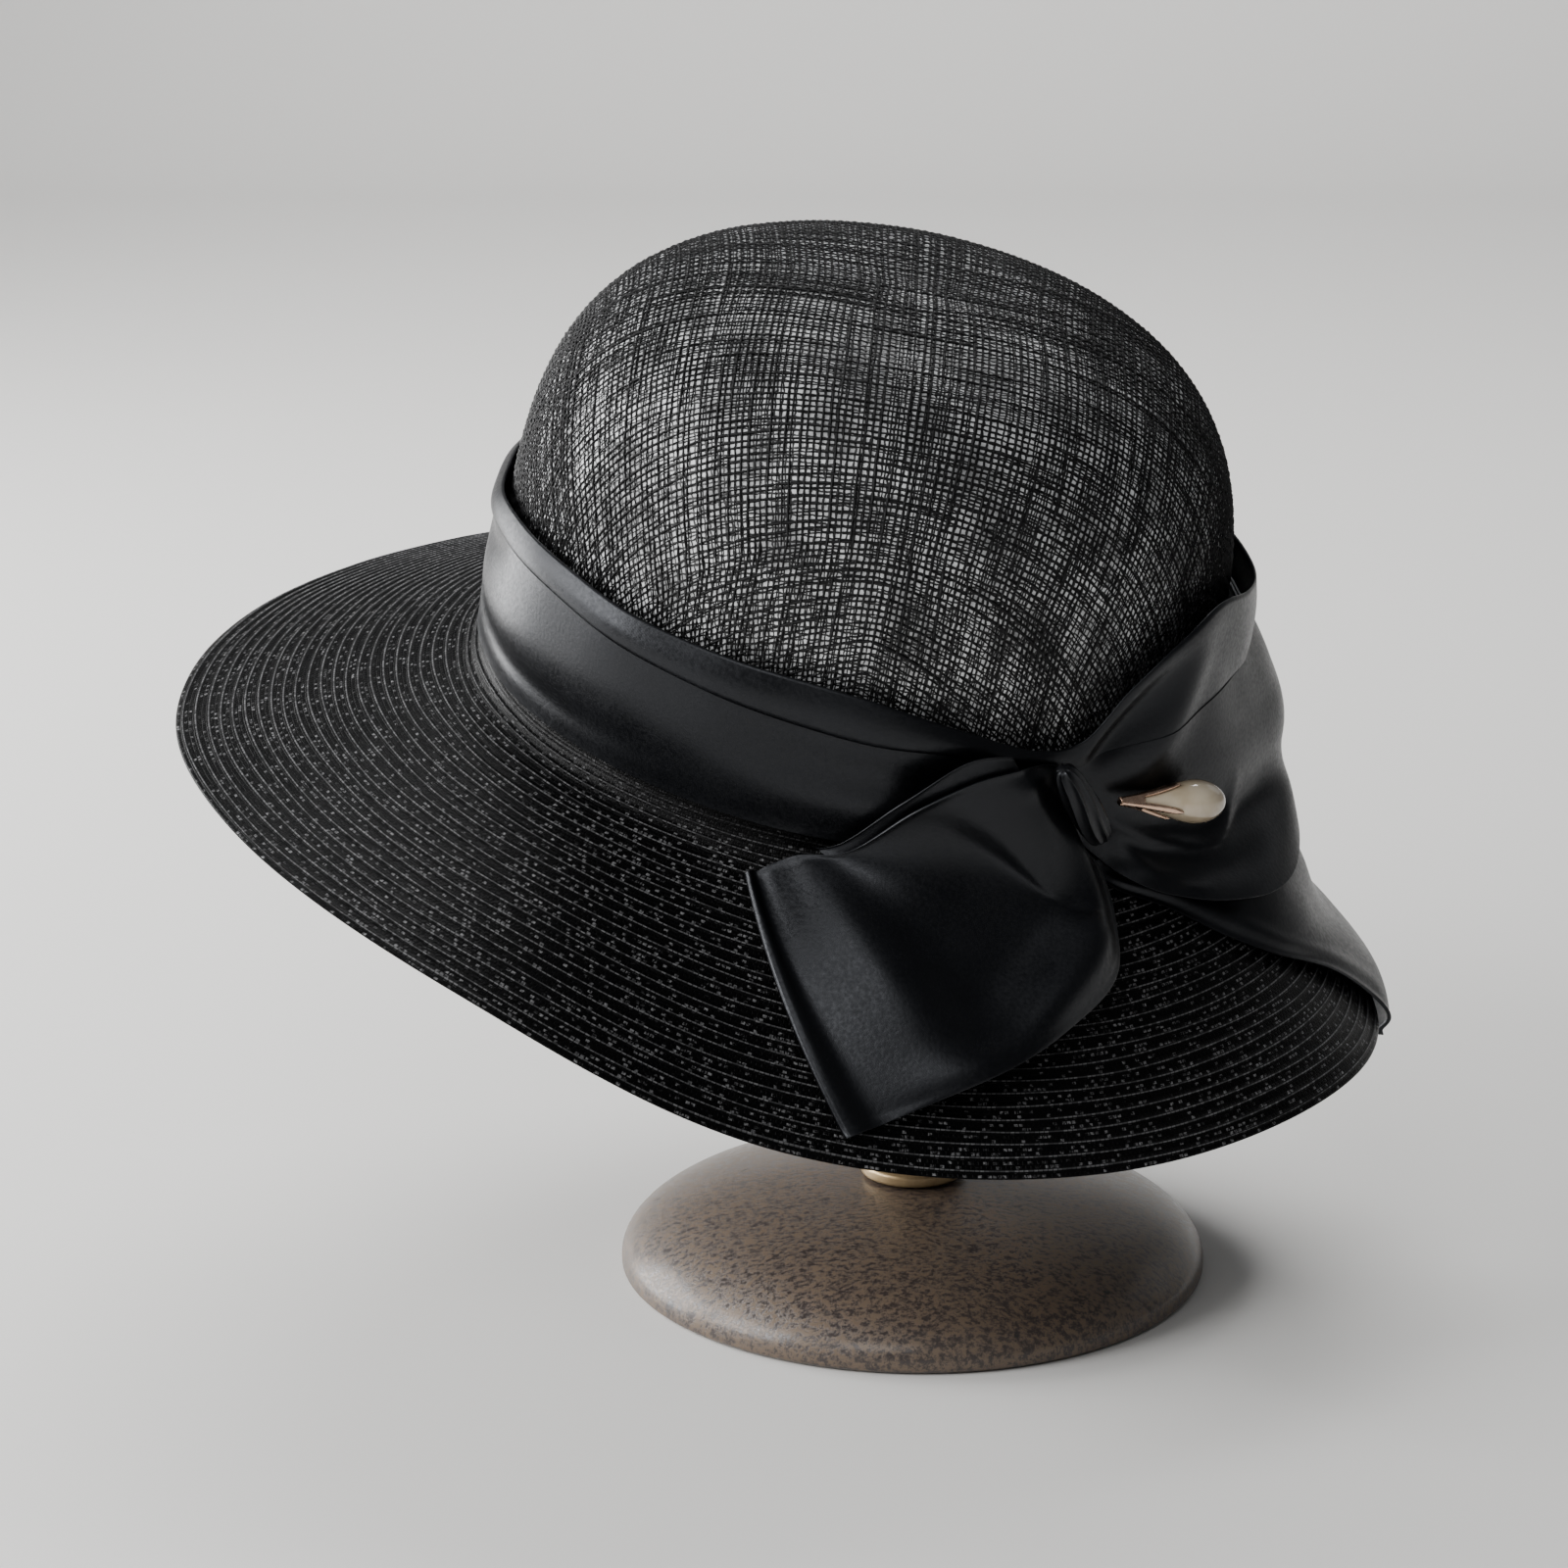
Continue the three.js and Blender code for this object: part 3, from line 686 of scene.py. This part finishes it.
# %% The band's two folds
belly_share = 0.4
band_columns = ("azimuth", "top", "off_top", "pleat", "off_pleat", "lip", "off_belly", "hem", "off_hem")
band_table = [
    (-180, 49.0, 1.4, 44.5, 2.6, 1.2, 3.4, 6.0, 2.6),
    (-150, 53.5, 3.2, 47.0, 4.2, 1.6, 6.0, 6.0, 4.2),
    (-120, 51.5, 3.4, 43.0, 4.6, 1.6, 6.4, 6.0, 4.5),
    (-90, 49.5, 3.6, 38.5, 4.6, 1.6, 6.2, 6.0, 4.5),
    (-74, 43.0, 3.6, 38.0, 4.6, 1.2, 5.8, 8.0, 4.0),
    (-62, 37.5, 3.6, 34.5, 4.4, 0.5, 4.8, 12.0, 3.5),
    (-55, 39.5, 3.6, 32.0, 4.4, 0.2, 4.8, 12.0, 3.5),
    (-49, 54.0, 4.0, 34.0, 5.0, 0.0, 6.5, 2.0, 5.0),
    (-42, 64.0, 4.0, 38.0, 7.0, 0.0, 10.0, -17.0, 11.0),
    (-30, 70.0, 3.6, 42.0, 8.0, 0.0, 15.0, -31.0, 14.0),
    (-18, 66.0, 3.2, 43.0, 7.0, 0.3, 18.0, -32.0, 15.0),
    (-4, 60.0, 2.8, 43.0, 4.5, 0.8, 22.0, -22.0, 16.0),
    (12, 57.0, 2.6, 43.0, 4.2, 1.2, 17.5, -8.0, 12.0),
    (35, 54.0, 0.6, 43.0, 3.2, 1.6, 8.0, 4.0, 4.0),
    (60, 52.0, 0.1, 43.0, 2.8, 1.6, 5.0, 6.0, 1.8),
    (90, 50.0, 0.6, 43.0, 2.6, 1.6, 4.4, 6.0, 1.6),
    (120, 49.0, 1.0, 43.0, 2.6, 1.6, 4.2, 6.0, 1.6),
    (150, 47.5, 1.3, 43.0, 2.6, 1.4, 3.8, 6.0, 2.0),
]
ribbon_wall = 1.1
loose_turn = 30.0
band_around = 720


def band_sections(azimuth):
    """Run and stand-off of the band's outer line at each azimuth: the parabola of the lower fold
    from the hem to the pleat, a step out by the lip, and the gentle bow of the upper fold."""
    row = row_at(band_table, azimuth, 360)
    at = {name: row[:, i][:, None] for i, name in enumerate(band_columns)}
    s = (0.5 - 0.5 * np.cos(np.linspace(0, math.pi, 40)))[None, :]
    lower_run = at["hem"] + (at["pleat"] + 1.5 - at["hem"]) * s
    lower_off = (at["off_hem"] * (s - belly_share) * (s - 1) / belly_share
                 + at["off_belly"] * s * (1 - s) / (belly_share * (1 - belly_share))
                 + at["off_pleat"] * s * (s - belly_share) / (1 - belly_share))
    t = np.linspace(0, 1, 16)[None, :]
    edge = np.sqrt(np.clip(1 - (1 - np.minimum(t / 0.18, 1)) ** 2, 0, 1))
    upper_run = at["pleat"] - 1.2 * (1 - t) * np.minimum(at["lip"], 1) + (at["top"] - at["pleat"]) * t
    upper_off = (at["off_pleat"] + (at["off_top"] - at["off_pleat"]) * t
                 + at["lip"] * edge * (1.2 - t) + 0.9 * np.sin(math.pi * t) * np.minimum(at["lip"], 1))
    return np.concatenate([lower_run, upper_run], 1), np.concatenate([lower_off, upper_off], 1)


# Each fold is a line of (azimuth, run, width, height).
band_folds = [
    # rolled top edge of the loop, springing from the knot
    [(-54.5, 35, 2.5, 0.8), (-50, 47, 3.5, 1.6), (-44, 60, 4, 1.6), (-36, 66, 4, 1), (-26, 65, 4, 0)],
    # deep recess beside it, then the upright fold
    [(-52.5, 34, 3, -1), (-48, 42, 5, -3), (-44, 50, 6, -2.6), (-40, 57, 6, 0)],
    [(-46, 28, 3.5, 0), (-41.5, 37, 6, 2), (-38, 50, 7, 2.4), (-34, 62, 7, 1.5)],
    [(-27, 60, 8, -0.5), (-22, 43, 9, -1), (-20, 25, 9, 0)],
    # hollow that the pearl lies in, and the rim round it
    [(-46, 22, 4, 0), (-38, 14, 8, -2.2), (-32, 12, 8, -2)],
    [(-49, 16, 2, 0), (-46.8, 12, 2.2, 1), (-43.2, 7, 2.4, 1.5), (-37.8, 0, 2.6, 1.9),
     (-32.5, -7, 2.8, 2), (-27.5, -3, 2.8, 1.8), (-23.5, 8, 3, 1), (-24, 18, 3, 0)],
    # small gathers under the rim
    [(-48.5, 12, 1.6, 0), (-44.5, 1.6, 2, 1), (-41.8, -9, 2.2, 1.1), (-38.2, -12, 2.2, 0)],
    [(-39.8, -15, 2, 0), (-38, -19.5, 2, 1), (-34.8, -20, 2, 0)],
    [(-36, -16, 4, 0), (-28, -19, 5, -1.8), (-20, -12, 6, 0)],
    # soft folds of the lower fold that run into the knot from the front
    [(-108, 30, 7, -0.5), (-85, 29, 6, -1.2), (-66, 27, 3, -1.6)],
    [(-100, 16, 7, 0.5), (-78, 18, 5, 1.2), (-63, 21, 3, 1.4)],
    [(-165, 26, 8, 0.9), (-140, 30, 8, 0.7), (-118, 34, 7, 0)],
    [(-178, 20, 4, 0), (-160, 17, 4, -1.2), (-138, 15, 4, -1.3), (-112, 17, 5, 0)],
    [(-178, 36, 5, 0), (-168, 38, 4, -1.3), (-156, 43, 4, 0)],
]


def band_mesh():
    """The band as one closed ring, with its folds added to the stand-off."""
    azimuth = np.linspace(-180, 180, band_around, endpoint=False)
    run, off = band_sections(azimuth)
    around = azimuth[:, None] + 0 * run
    angle = np.radians(around)
    wave = 0.25 * np.sin(9 * angle + run * 0.05) + 0.18 * np.sin(17 * angle + 2)
    off = off + add_folds(around, run, band_folds) + wave * smoothstep(0, 12, run)
    width = np.append(0, np.cumsum(np.abs(np.diff(run.mean(0)))))
    rounded = np.sqrt(1 - np.abs(np.linspace(-1, 1, run.shape[1])) ** 24)
    face = hat_point(around, run, off, loose_turn)
    back = hat_point(around, run, off - ribbon_wall * (0.35 + 0.65 * rounded), loose_turn)
    flat = np.stack([width + 0 * run, around * arc_per_degree], -1)
    return wall("satin_band", placed(face), placed(back), flat, loop=True)


band_piece = band_mesh()
dress(band_piece, "band", satin_paint)

# %% [markdown]
# ## The bow
#
# Each tail is the same ribbon cut to length. Its two edges are given as places on the hat, row by
# row from the knot to the hemmed end, with the stand-off at both edges and in the middle. Folds
# start narrow at the knot and open out along the tail.

# %% Tails of the bow
# Row number, azimuth and run of edge A, azimuth and run of edge B, stand-off of A, middle and B.
left_tail_table = [
    (0, -58.5, 34.5, -51, 17, 6.8, 7.5, 6.9),
    (0.4, -63, 36.5, -53, 11, 8, 8.9, 8),
    (1, -68, 38.5, -51, -3, 13.5, 16.5, 11),
    (2, -74, 35, -51.5, -21, 14.5, 20, 10),
    (3, -81, 25, -54.5, -36.5, 14, 18, 8),
    (4, -88, 9.5, -62, -47.5, 11, 13, 6),
    (5, -95, -4, -71, -59.5, 7, 8.5, 4.5),
    (6, -101, -13, -85, -77.5, 3.2, 4, 1.8),
]
right_tail_table = [
    (0, -44, 8, -49, -4, 3.5, 4, 1.8),
    (1, -33, 2, -45, -12, 4.5, 5, 1.8),
    (2, -20, -6, -38.5, -21, 8, 8, 1.8),
    (3, -8, -20, -32.5, -34, 12, 12, 2),
    (4, 2, -36, -26.5, -46, 7, 9, 2.4),
    (5, 12, -54, -18, -60, 2.5, 5, 3),
    (6, 21, -72, -13, -75, 3.5, 5.5, 3.4),
    (7, 24, -84, -12, -85, 4, 4.8, 3),
    (8, 25, -87.2, -12, -87.6, -3, -2.6, -3.4),
]

tail_length, tail_width = 95.0, 62.0
hem_bead, hem_width = 0.4, 1.1
end_roll, end_inset, end_width = 3.2, 1.4, 1.2           # the roll at the end, as beads of the hem


def tail_cloth(table, share, v):
    """Points of a tail. Edge A, middle and edge B are smooth lines through the table's places in
    space, so the cloth bridges the corner of the hat, and across them it is the parabola
    a (1 − v)(1 − 2v) + 4 m v (1 − v) + b v (2v − 1)."""
    number, azimuth_a, run_a, azimuth_b, run_b, off_a, off_middle, off_b = np.asarray(table, float).T
    lines = row_at(np.column_stack([
        number, hat_point(azimuth_a, run_a, off_a),
        hat_point((azimuth_a + azimuth_b) / 2, (run_a + run_b) / 2, off_middle),
        hat_point(azimuth_b, run_b, off_b)]), share[:, 0] * number[-1])[:, None, 1:]
    v = v[..., None]
    return (lines[..., 0:3] * (1 - v) * (1 - 2 * v) + lines[..., 3:6] * 4 * v * (1 - v)
            + lines[..., 6:9] * v * (2 * v - 1))


def tail_mesh(name, table, folds, along=(0.0, 1.0), across=(0.0, 1.0), drop=0.0, thickness=ribbon_wall,
              along_steps=200, across_steps=84):
    """A tail as a closed wall: its cloth lifted along its own normal by the folds, which follow
    lines of (share along, v, width, height), and by a small bead on the hems."""
    last = table[-1][0]
    share = np.linspace(*along, along_steps)[:, None]
    place = 0.5 - 0.5 * np.cos(np.linspace(0, math.pi, across_steps))[None, :]
    v = across[0] + (across[1] - across[0]) * place
    middle = tail_cloth(table, share, v)
    normal = np.cross(np.gradient(middle, axis=0), np.gradient(middle, axis=1))
    normal /= np.linalg.norm(normal, axis=-1, keepdims=True)
    row = row_at(table, share[:, 0] * last)
    outward_way = hat_point(row[:, 1], row[:, 2], 1.0) - hat_point(row[:, 1], row[:, 2], 0.0)
    normal *= np.sign((normal[:, across_steps // 2] * outward_way).sum())
    to_hems = np.stack([place, 1 - place]) * tail_width / hem_width
    to_end = ((1 - share) * tail_length - end_inset) / end_width
    bead = hem_bead * (np.exp(-to_hems ** 2).sum(0) + end_roll * np.exp(-to_end ** 2))
    lift = add_folds(share, v, folds, (tail_length, tail_width)) - drop + bead
    rounded = np.sqrt(1 - np.abs(2 * place - 1) ** 30)
    thick = thickness * (0.35 + 0.65 * rounded) + bead
    face, back = middle + lift[..., None] * normal, middle + (lift - thick)[..., None] * normal
    line = np.linalg.norm(np.diff(face[:, across_steps // 2], axis=0), axis=-1)
    length = np.concatenate([[0], np.cumsum(line)])
    flat = np.stack([v * tail_width + 0 * length[:, None], length[:, None] + 0 * v], -1)
    return wall(name, placed(face), placed(back), flat)


left_tail_folds = [
    # roll next to the end hem, and the dip between them
    [(0.79, -0.05, 7, 0.8), (0.825, 0.25, 7, 2.4), (0.84, 0.65, 6.5, 4.2), (0.87, 1.0, 6, 4.4)],
    [(0.965, -0.02, 3, -0.8), (0.97, 1.02, 3, -1.6)],
    # the broad hollow in the middle
    [(0.25, 0.3, 10, 0), (0.42, 0.38, 12, -0.8), (0.58, 0.52, 12, -1.6), (0.7, 0.75, 9, 0)],
    # the roll that sweeps from the knot down the far side to the lower edge
    [(0.03, 0.42, 6, 0), (0.09, 0.56, 7, 1.2), (0.16, 0.7, 8, 2), (0.28, 0.8, 8, 3.8), (0.47, 0.87, 7, 7.6),
     (0.62, 0.91, 6.5, 8.6), (0.75, 0.96, 6.5, 7.6), (0.86, 1.0, 6, 5)],
    # gathers at the knot
    [(0.05, 0.1, 2, 0), (0.12, 0.12, 3, 0.7), (0.26, 0.06, 4, 0)],
]
right_tail_folds = [
    [(0.1, 0.9, 3, 0.8), (0.4, 0.92, 3.5, 1), (0.8, 0.92, 3.5, 0.6)],
    [(0.15, 0.5, 9, -1), (0.5, 0.5, 12, -1.5), (0.8, 0.5, 12, -0.6)],
]
left_tail = tail_mesh("satin_left_tail", left_tail_table, left_tail_folds)
left_under = tail_mesh("satin_left_tail_under_ply", left_tail_table, left_tail_folds, along=(0.14, 0.74),
                       across=(-0.065, 0.3), drop=1.7, thickness=0.5, along_steps=90, across_steps=24)
right_tail = tail_mesh("satin_right_tail", right_tail_table, right_tail_folds)
dress(left_under, "bow_left_tail", satin_paint)
dress(left_tail, "bow_left_tail", satin_paint)
dress(right_tail, "bow_right_tail", satin_paint)

# %% [markdown]
# The knot is a short roll of the same satin, gathered into pleats that run along it.

# %% Knot
knot_top, knot_foot = (-61.5, 38.5, 13.3), (-52.0, 15.0, 13.3)
knot_radius, knot_pleats = 4.1, 9
pleat_depth, pleat_crest = 0.24, 1.12


def knot_mesh(steps=72, around=144):
    """A roll with round ends, a running from end to end and t round it. Its radius is
    r √cos a (1.12 − 0.24 |sin(9 t / 2 + 0.9 a + 0.4 sin 3a)|^0.7) (1 + 0.08 sin(2t + a))."""
    top, foot = hat_point(*knot_top), hat_point(*knot_foot)
    along = (foot - top) / np.linalg.norm(foot - top)
    across = np.cross(along, hat_point(knot_top[0], knot_top[1], knot_top[2] + 1) - top)
    across /= np.linalg.norm(across)
    up = np.cross(across, along)
    a = np.linspace(-math.pi / 2 + 0.03, math.pi / 2 - 0.03, steps)[:, None]
    turn = np.linspace(0, 2 * math.pi, around, endpoint=False)[None, :]
    middle = top + (foot - top) * (1 + np.sin(a))[..., None] / 2
    pleat = np.abs(np.sin(knot_pleats * turn / 2 + 0.9 * a + 0.4 * np.sin(3 * a))) ** 0.7
    radius = (knot_radius * np.cos(a) ** 0.5 * (pleat_crest - pleat_depth * pleat)
              * (1 + 0.08 * np.sin(2 * turn + a)))
    rings = middle + radius[..., None] * (np.cos(turn)[..., None] * across + np.sin(turn)[..., None] * up)
    flat = np.stack(np.broadcast_arrays(turn * knot_radius, 14 * a), -1)
    ends = np.stack([top - along * 0.1, foot + along * 0.1])
    return closed_rings("satin_knot", placed(rings), placed(ends), flat)


knot = knot_mesh()
dress(knot, "bow_knot", satin_paint)

# %% [markdown]
# ## The pearl drop
#
# A long drop pearl sits in a small gold cup whose rim runs out into prongs. Both are turned round
# one line, from the knot out along the band's loop, so they share a radius function.

# %% Pearl and claw
pearl_radius, pearl_length, pearl_around = 6.3, 29.5, 96
claw_reach, claw_wall, claw_gap = 15.0, 0.8, 0.2
claw_prong, claw_prongs, claw_around, claw_rings = 10.0, 4, 144, 22
pearl_tip, pearl_bulb = hat_point(-48.0, 23.4, 10.4), hat_point(-33.5, 21.4, 20.6)
drop_line = (pearl_bulb - pearl_tip) / np.linalg.norm(pearl_bulb - pearl_tip)
drop_side = np.cross(drop_line, (0, 0, 1.0))
drop_side /= np.linalg.norm(drop_side)
drop_up = np.cross(drop_side, drop_line)


def pearl_width(distance):
    """Radius at a distance from the point: r · sin(π t^1.6)^0.5 · (0.3 + 0.7 sin(π t / 2)), which
    is slender at the point and round at the other end."""
    t = np.clip(distance / pearl_length, 0, 1)
    return (pearl_radius * np.clip(np.sin(math.pi * t ** 1.6), 0, 1) ** 0.5
            * (0.3 + 0.7 * np.sin(math.pi * t / 2)))


def turned_shape(name, distance, radius, around):
    """Rings round the drop's line at each distance, with a point on the line at both ends."""
    turn = np.linspace(0, 2 * math.pi, around, endpoint=False)[None, :, None]
    distance, radius = (np.broadcast_to(x, (len(distance), around))[..., None] for x in (distance, radius))
    rings = pearl_tip + distance * drop_line + radius * (np.cos(turn) * drop_side + np.sin(turn) * drop_up)
    return closed_rings(name, placed(rings), placed(rings[[0, -1]].mean(1)))


pearl_steps = np.sin(np.linspace(0.02, 1, 60) * math.pi / 2)[:, None] * pearl_length * 0.9995
pearl = turned_shape("pearl_drop", pearl_steps, pearl_width(pearl_steps), pearl_around)

# The claw's rings run up its outside, over the rim in two small steps and down its inside.
claw_turn = np.linspace(0, 2 * math.pi, claw_around, endpoint=False)[None, :]
claw_edge = claw_reach - claw_prong * (1 - np.clip(np.cos(claw_prongs * claw_turn), 0, 1) ** 1.1)
claw_share = np.linspace(0.05, 1, claw_rings)
claw_share = np.append(claw_share, claw_share[::-1])[:, None]
claw_metal = np.repeat([1, 0.6, 0.3, 0], [claw_rings - 1, 1, 1, claw_rings - 1])[:, None]
claw_clear = claw_gap + claw_wall * claw_metal
claw_distance = claw_edge * claw_share
claw = turned_shape("gold_claw", claw_distance - (1 - claw_share) * (1 + claw_clear),
                    pearl_width(claw_distance) + claw_clear, claw_around)

# %% [markdown]
# The pearl is a pale ivory in the middle, with painted shade that turns it a deep brown towards
# its rim as seen, under a clear hard coat. The claw is plain rose gold, rubbed a little unevenly.

# %% Finishes of the drop
pearl_paint, tree = new_material(
    "ivory pearl", Roughness=0.16, Coat_Weight=1.0, Coat_Roughness=0.05, Coat_IOR=1.7)
cloud = noise(tree, object_place(tree), 120.0, 3.0)
# Painted shade: the pearl turns deep brown towards its rim as seen, for its dark edges.
painted_rim_shade = add_node(tree, "LayerWeight", Blend=0.45).outputs["Facing"]
ivory = ramp(tree, cloud, (0.6, 0.48, 0.32), (0.85, 0.75, 0.58), 0.3, 0.7)
connect(tree, Base_Color=mixed(tree, painted_rim_shade, ivory, (0.12, 0.08, 0.04)))

gold_paint, tree = new_material("rose gold", Metallic=1.0)
worn = noise(tree, object_place(tree), 400.0, 3.0)
connect(tree, Base_Color=ramp(tree, worn, (0.5, 0.29, 0.2), (0.9, 0.66, 0.5)),
        Roughness=remap(tree, worn, 0, 1, 0.16, 0.38))

dress(pearl, "pearl", pearl_paint)
dress(claw, "pearl_claw", gold_paint)

# %% [markdown]
# ## The stand
#
# The foot is a spun dome with a small rolled rim. The post stands in a brass collar and carries a
# wide mushroom head that fills the top of the crown. Both are a profile spun round the Z axis.

# %% Foot and post
foot_radius, foot_height, foot_rim, foot_around = 81.3, 26.5, 3.0, 160
post_radius, post_collar, post_around, post_gap = 7.5, 14.5, 96, 0.3
head_radius, head_dome, head_edge, head_clear = 38.0, 62.0, 5.0, 1.4
post_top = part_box("stand_post")[1].z * 1000 - head_clear

def rounded_line(corners, steps=6, radius=0.8):
    """A profile with its corners rounded: at each corner a quadratic curve between the points a
    radius before and after it."""
    corners = np.asarray(corners, float)
    line = [corners[0]]
    t = np.linspace(0, 1, steps)[:, None]
    for before, corner, after in zip(corners[:-2], corners[1:-1], corners[2:]):
        size_a, size_b = np.linalg.norm(before - corner), np.linalg.norm(after - corner)
        a = corner + (before - corner) * min(radius / size_a, 0.5)
        b = corner + (after - corner) * min(radius / size_b, 0.5)
        line.extend((1 - t) ** 2 * a + 2 * t * (1 - t) * corner + t * t * b)
    line.append(corners[-1])
    return np.array(line)


def spun(name, profile, around):
    """A profile of (radius, height) in millimetres, which starts and ends on the Z axis, spun
    round it: (r cos t, r sin t, h)."""
    turn = np.linspace(0, 2 * math.pi, around, endpoint=False)
    radius, height = profile[:, :1], profile[:, 1:]
    rings = np.stack([radius * np.cos(turn), radius * np.sin(turn), height + 0 * turn], -1) / 1000
    return closed_rings(name, rings[1:-1], rings[[0, -1], 0])

dome_angle = np.linspace(0, math.pi / 2, 40)
dome = np.stack([foot_radius * np.cos(dome_angle),
                 foot_rim + (foot_height - foot_rim) * np.sin(dome_angle)], -1)
foot_profile = np.concatenate([
    rounded_line([(0, 0), (foot_radius - 2, 0), (foot_radius, 1.2), (foot_radius, foot_rim)]), dome[1:]])
foot_profile[-1, 0] = 0
foot = spun("stand_foot_dome", foot_profile, foot_around)

head_line = np.linspace(head_radius, 0, 24)
head = np.stack([head_line, post_top - head_line ** 2 / (2 * head_dome)], -1)
head_low = post_top - head_radius ** 2 / (2 * head_dome) - head_edge
start = foot_height + post_gap
stem = rounded_line([
    (0, start), (post_collar, start), (post_collar, start + 3), (post_collar - 3, start + 4.5),
    (post_collar - 3, start + 8), (post_radius + 1.5, start + 9.5), (post_radius, start + 13),
    (post_radius, head_low - 8), (post_radius + 6, head_low - 2), (head_radius - 3, head_low),
    (head_radius, head_low + head_edge)])
post = spun("stand_post_and_head", np.concatenate([stem, head[1:]]), post_around)

# %% [markdown]
# Both metals have aged, so they share a patina: a large worn pattern and fine scratches, as a node
# group. The brass only wanders in colour and gloss. The foot is a dark brown metal that is covered
# in short tan flecks, which are a fine noise on a bent place, with a few dark pits.

# %% Old metal finishes
patina = bpy.data.node_groups.new("patina", "ShaderNodeTree")
for label, way, kind in (("Position", "INPUT", "Vector"), ("Scale", "INPUT", "Float"),
                         ("Worn", "OUTPUT", "Float"), ("Scratch", "OUTPUT", "Float")):
    patina.interface.new_socket(label, in_out=way, socket_type="NodeSocket" + kind)
given = patina.nodes.new("NodeGroupInput").outputs
stretched = add_node(patina, "Mapping", Vector=given["Position"], Scale=(1, 1, 6)).outputs[0]
set_inputs(patina, patina.nodes.new("NodeGroupOutput"), {
    "Worn": noise(patina, given["Position"], given["Scale"], 6.0, 0.65),
    "Scratch": noise(patina, stretched, 260.0, 4.0)})


def aged(tree, scale):
    """The patina's outputs on the piece's own place."""
    return add_node(tree, "Group", {"node_tree": patina}, Position=object_place(tree), Scale=scale).outputs


post_paint, tree = new_material("antique brass", Metallic=0.75, Coat_Weight=0.15, Coat_Roughness=0.2)
age = aged(tree, 60.0)
connect(tree, Base_Color=ramp(tree, age["Worn"], (0.22, 0.15, 0.08), (0.5, 0.37, 0.2), 0.32, 0.7),
        Roughness=remap(tree, age["Worn"], 0.3, 0.7, 0.5, 0.34),
        Normal=bump(tree, age["Scratch"], 0.12, 0.0005))

foot_paint, tree = new_material(
    "antique brown metal", Metallic=0.12, Coat_Weight=0.25, Coat_Roughness=0.22)
worn = aged(tree, 24.0)["Worn"]
spot = object_place(tree)
bent = pushed_by(tree, noise(tree, spot, 60.0, output="Color"), (0.005, 0.005, 0.005), spot)
squeezed = add_node(tree, "Mapping", Vector=bent, Scale=(1, 1.5, 1)).outputs[0]
fleck = remap(tree, noise(tree, squeezed, 480.0, 6.0, 0.8), 0.45, 0.54)
pit = remap(tree, noise(tree, spot, 130.0, 3.0), 0.68, 0.74)
brown = mixed(tree, worn, (0.043, 0.0327, 0.0305), (0.0502, 0.0398, 0.036))
tan = mixed(tree, worn, (0.1348, 0.0955, 0.0653), (0.142, 0.1025, 0.0709))
connect(tree, Base_Color=mixed(tree, pit, mixed(tree, fleck, brown, tan), (0.0268, 0.0241, 0.0256)),
        Roughness=remap(tree, fleck, 0, 1, 0.28, 0.44), Normal=bump(tree, fleck, 0.3, 0.0003))

dress(foot, "stand_foot", foot_paint)
dress(post, "stand_post", post_paint)

# %% [markdown]
# ## Floor and light
#
# A pale floor curves up behind the hat. Black cloth shows its folds only by what it mirrors, so
# three large soft lights stand to the left and in front, as panes of one window would. A very weak
# fill comes from the right, and one light brightens the backdrop.

# %% Stage
floor_reach, floor_depth, floor_rise, floor_bend = 5.0, 2.0, 0.3, 0.5


def sweep_floor(steps=40):
    """A strip that is flat, bends up through a quarter circle and rises as a backdrop."""
    angle = np.linspace(0, math.pi / 2, steps)
    y = floor_depth + floor_bend * np.append(np.sin(angle), 1)
    z = np.append(floor_bend * (1 - np.cos(angle)), floor_rise + floor_bend)
    y, z = np.append(-floor_reach, y), np.append(0, z)
    x = np.array([[-floor_reach], [floor_reach]])
    points = np.stack(np.broadcast_arrays(x, y, z), -1).reshape(-1, 3)
    return new_piece("floor", points, grid_quads(2, len(y))[:, ::-1], closed=False)


floor = sweep_floor()
floor_paint, tree = new_material("pale floor", Roughness=0.7, Base_Color=(0.78, 0.77, 0.75, 1))
floor.data.materials.append(floor_paint)
# %% Lights
def soft_light(name, place, size, watts, target=(-0.03, 0, 0.15)):
    """A square area light that faces its target."""
    data = bpy.data.lights.new(name, "AREA")
    data.size, data.energy = size, watts
    light = bpy.data.objects.new(name, data)
    light.location = place
    direction = Vector(target) - Vector(place)
    light.rotation_euler = direction.to_track_quat("-Z", "Y").to_euler()
    bpy.context.scene.collection.objects.link(light)


soft_light("window", (-1.45, -0.55, 0.8), 0.9, 31)
soft_light("window_near", (-0.4, -1.3, 1.25), 0.7, 7.5)
soft_light("window_far", (-1.35, 0.6, 0.45), 1.0, 40)
soft_light("fill", (1.3, 0.9, 0.95), 0.9, 1)
soft_light("backdrop", (0, 0.9, 1.7), 1.2, 34, target=(0, 2.0, 0))

world = bpy.data.worlds.new("room")
world.use_nodes = True
set_inputs(world.node_tree, world.node_tree.nodes["Background"],
           {"Color": (0.9, 0.92, 0.95, 1), "Strength": 0.12})
bpy.context.scene.world = world
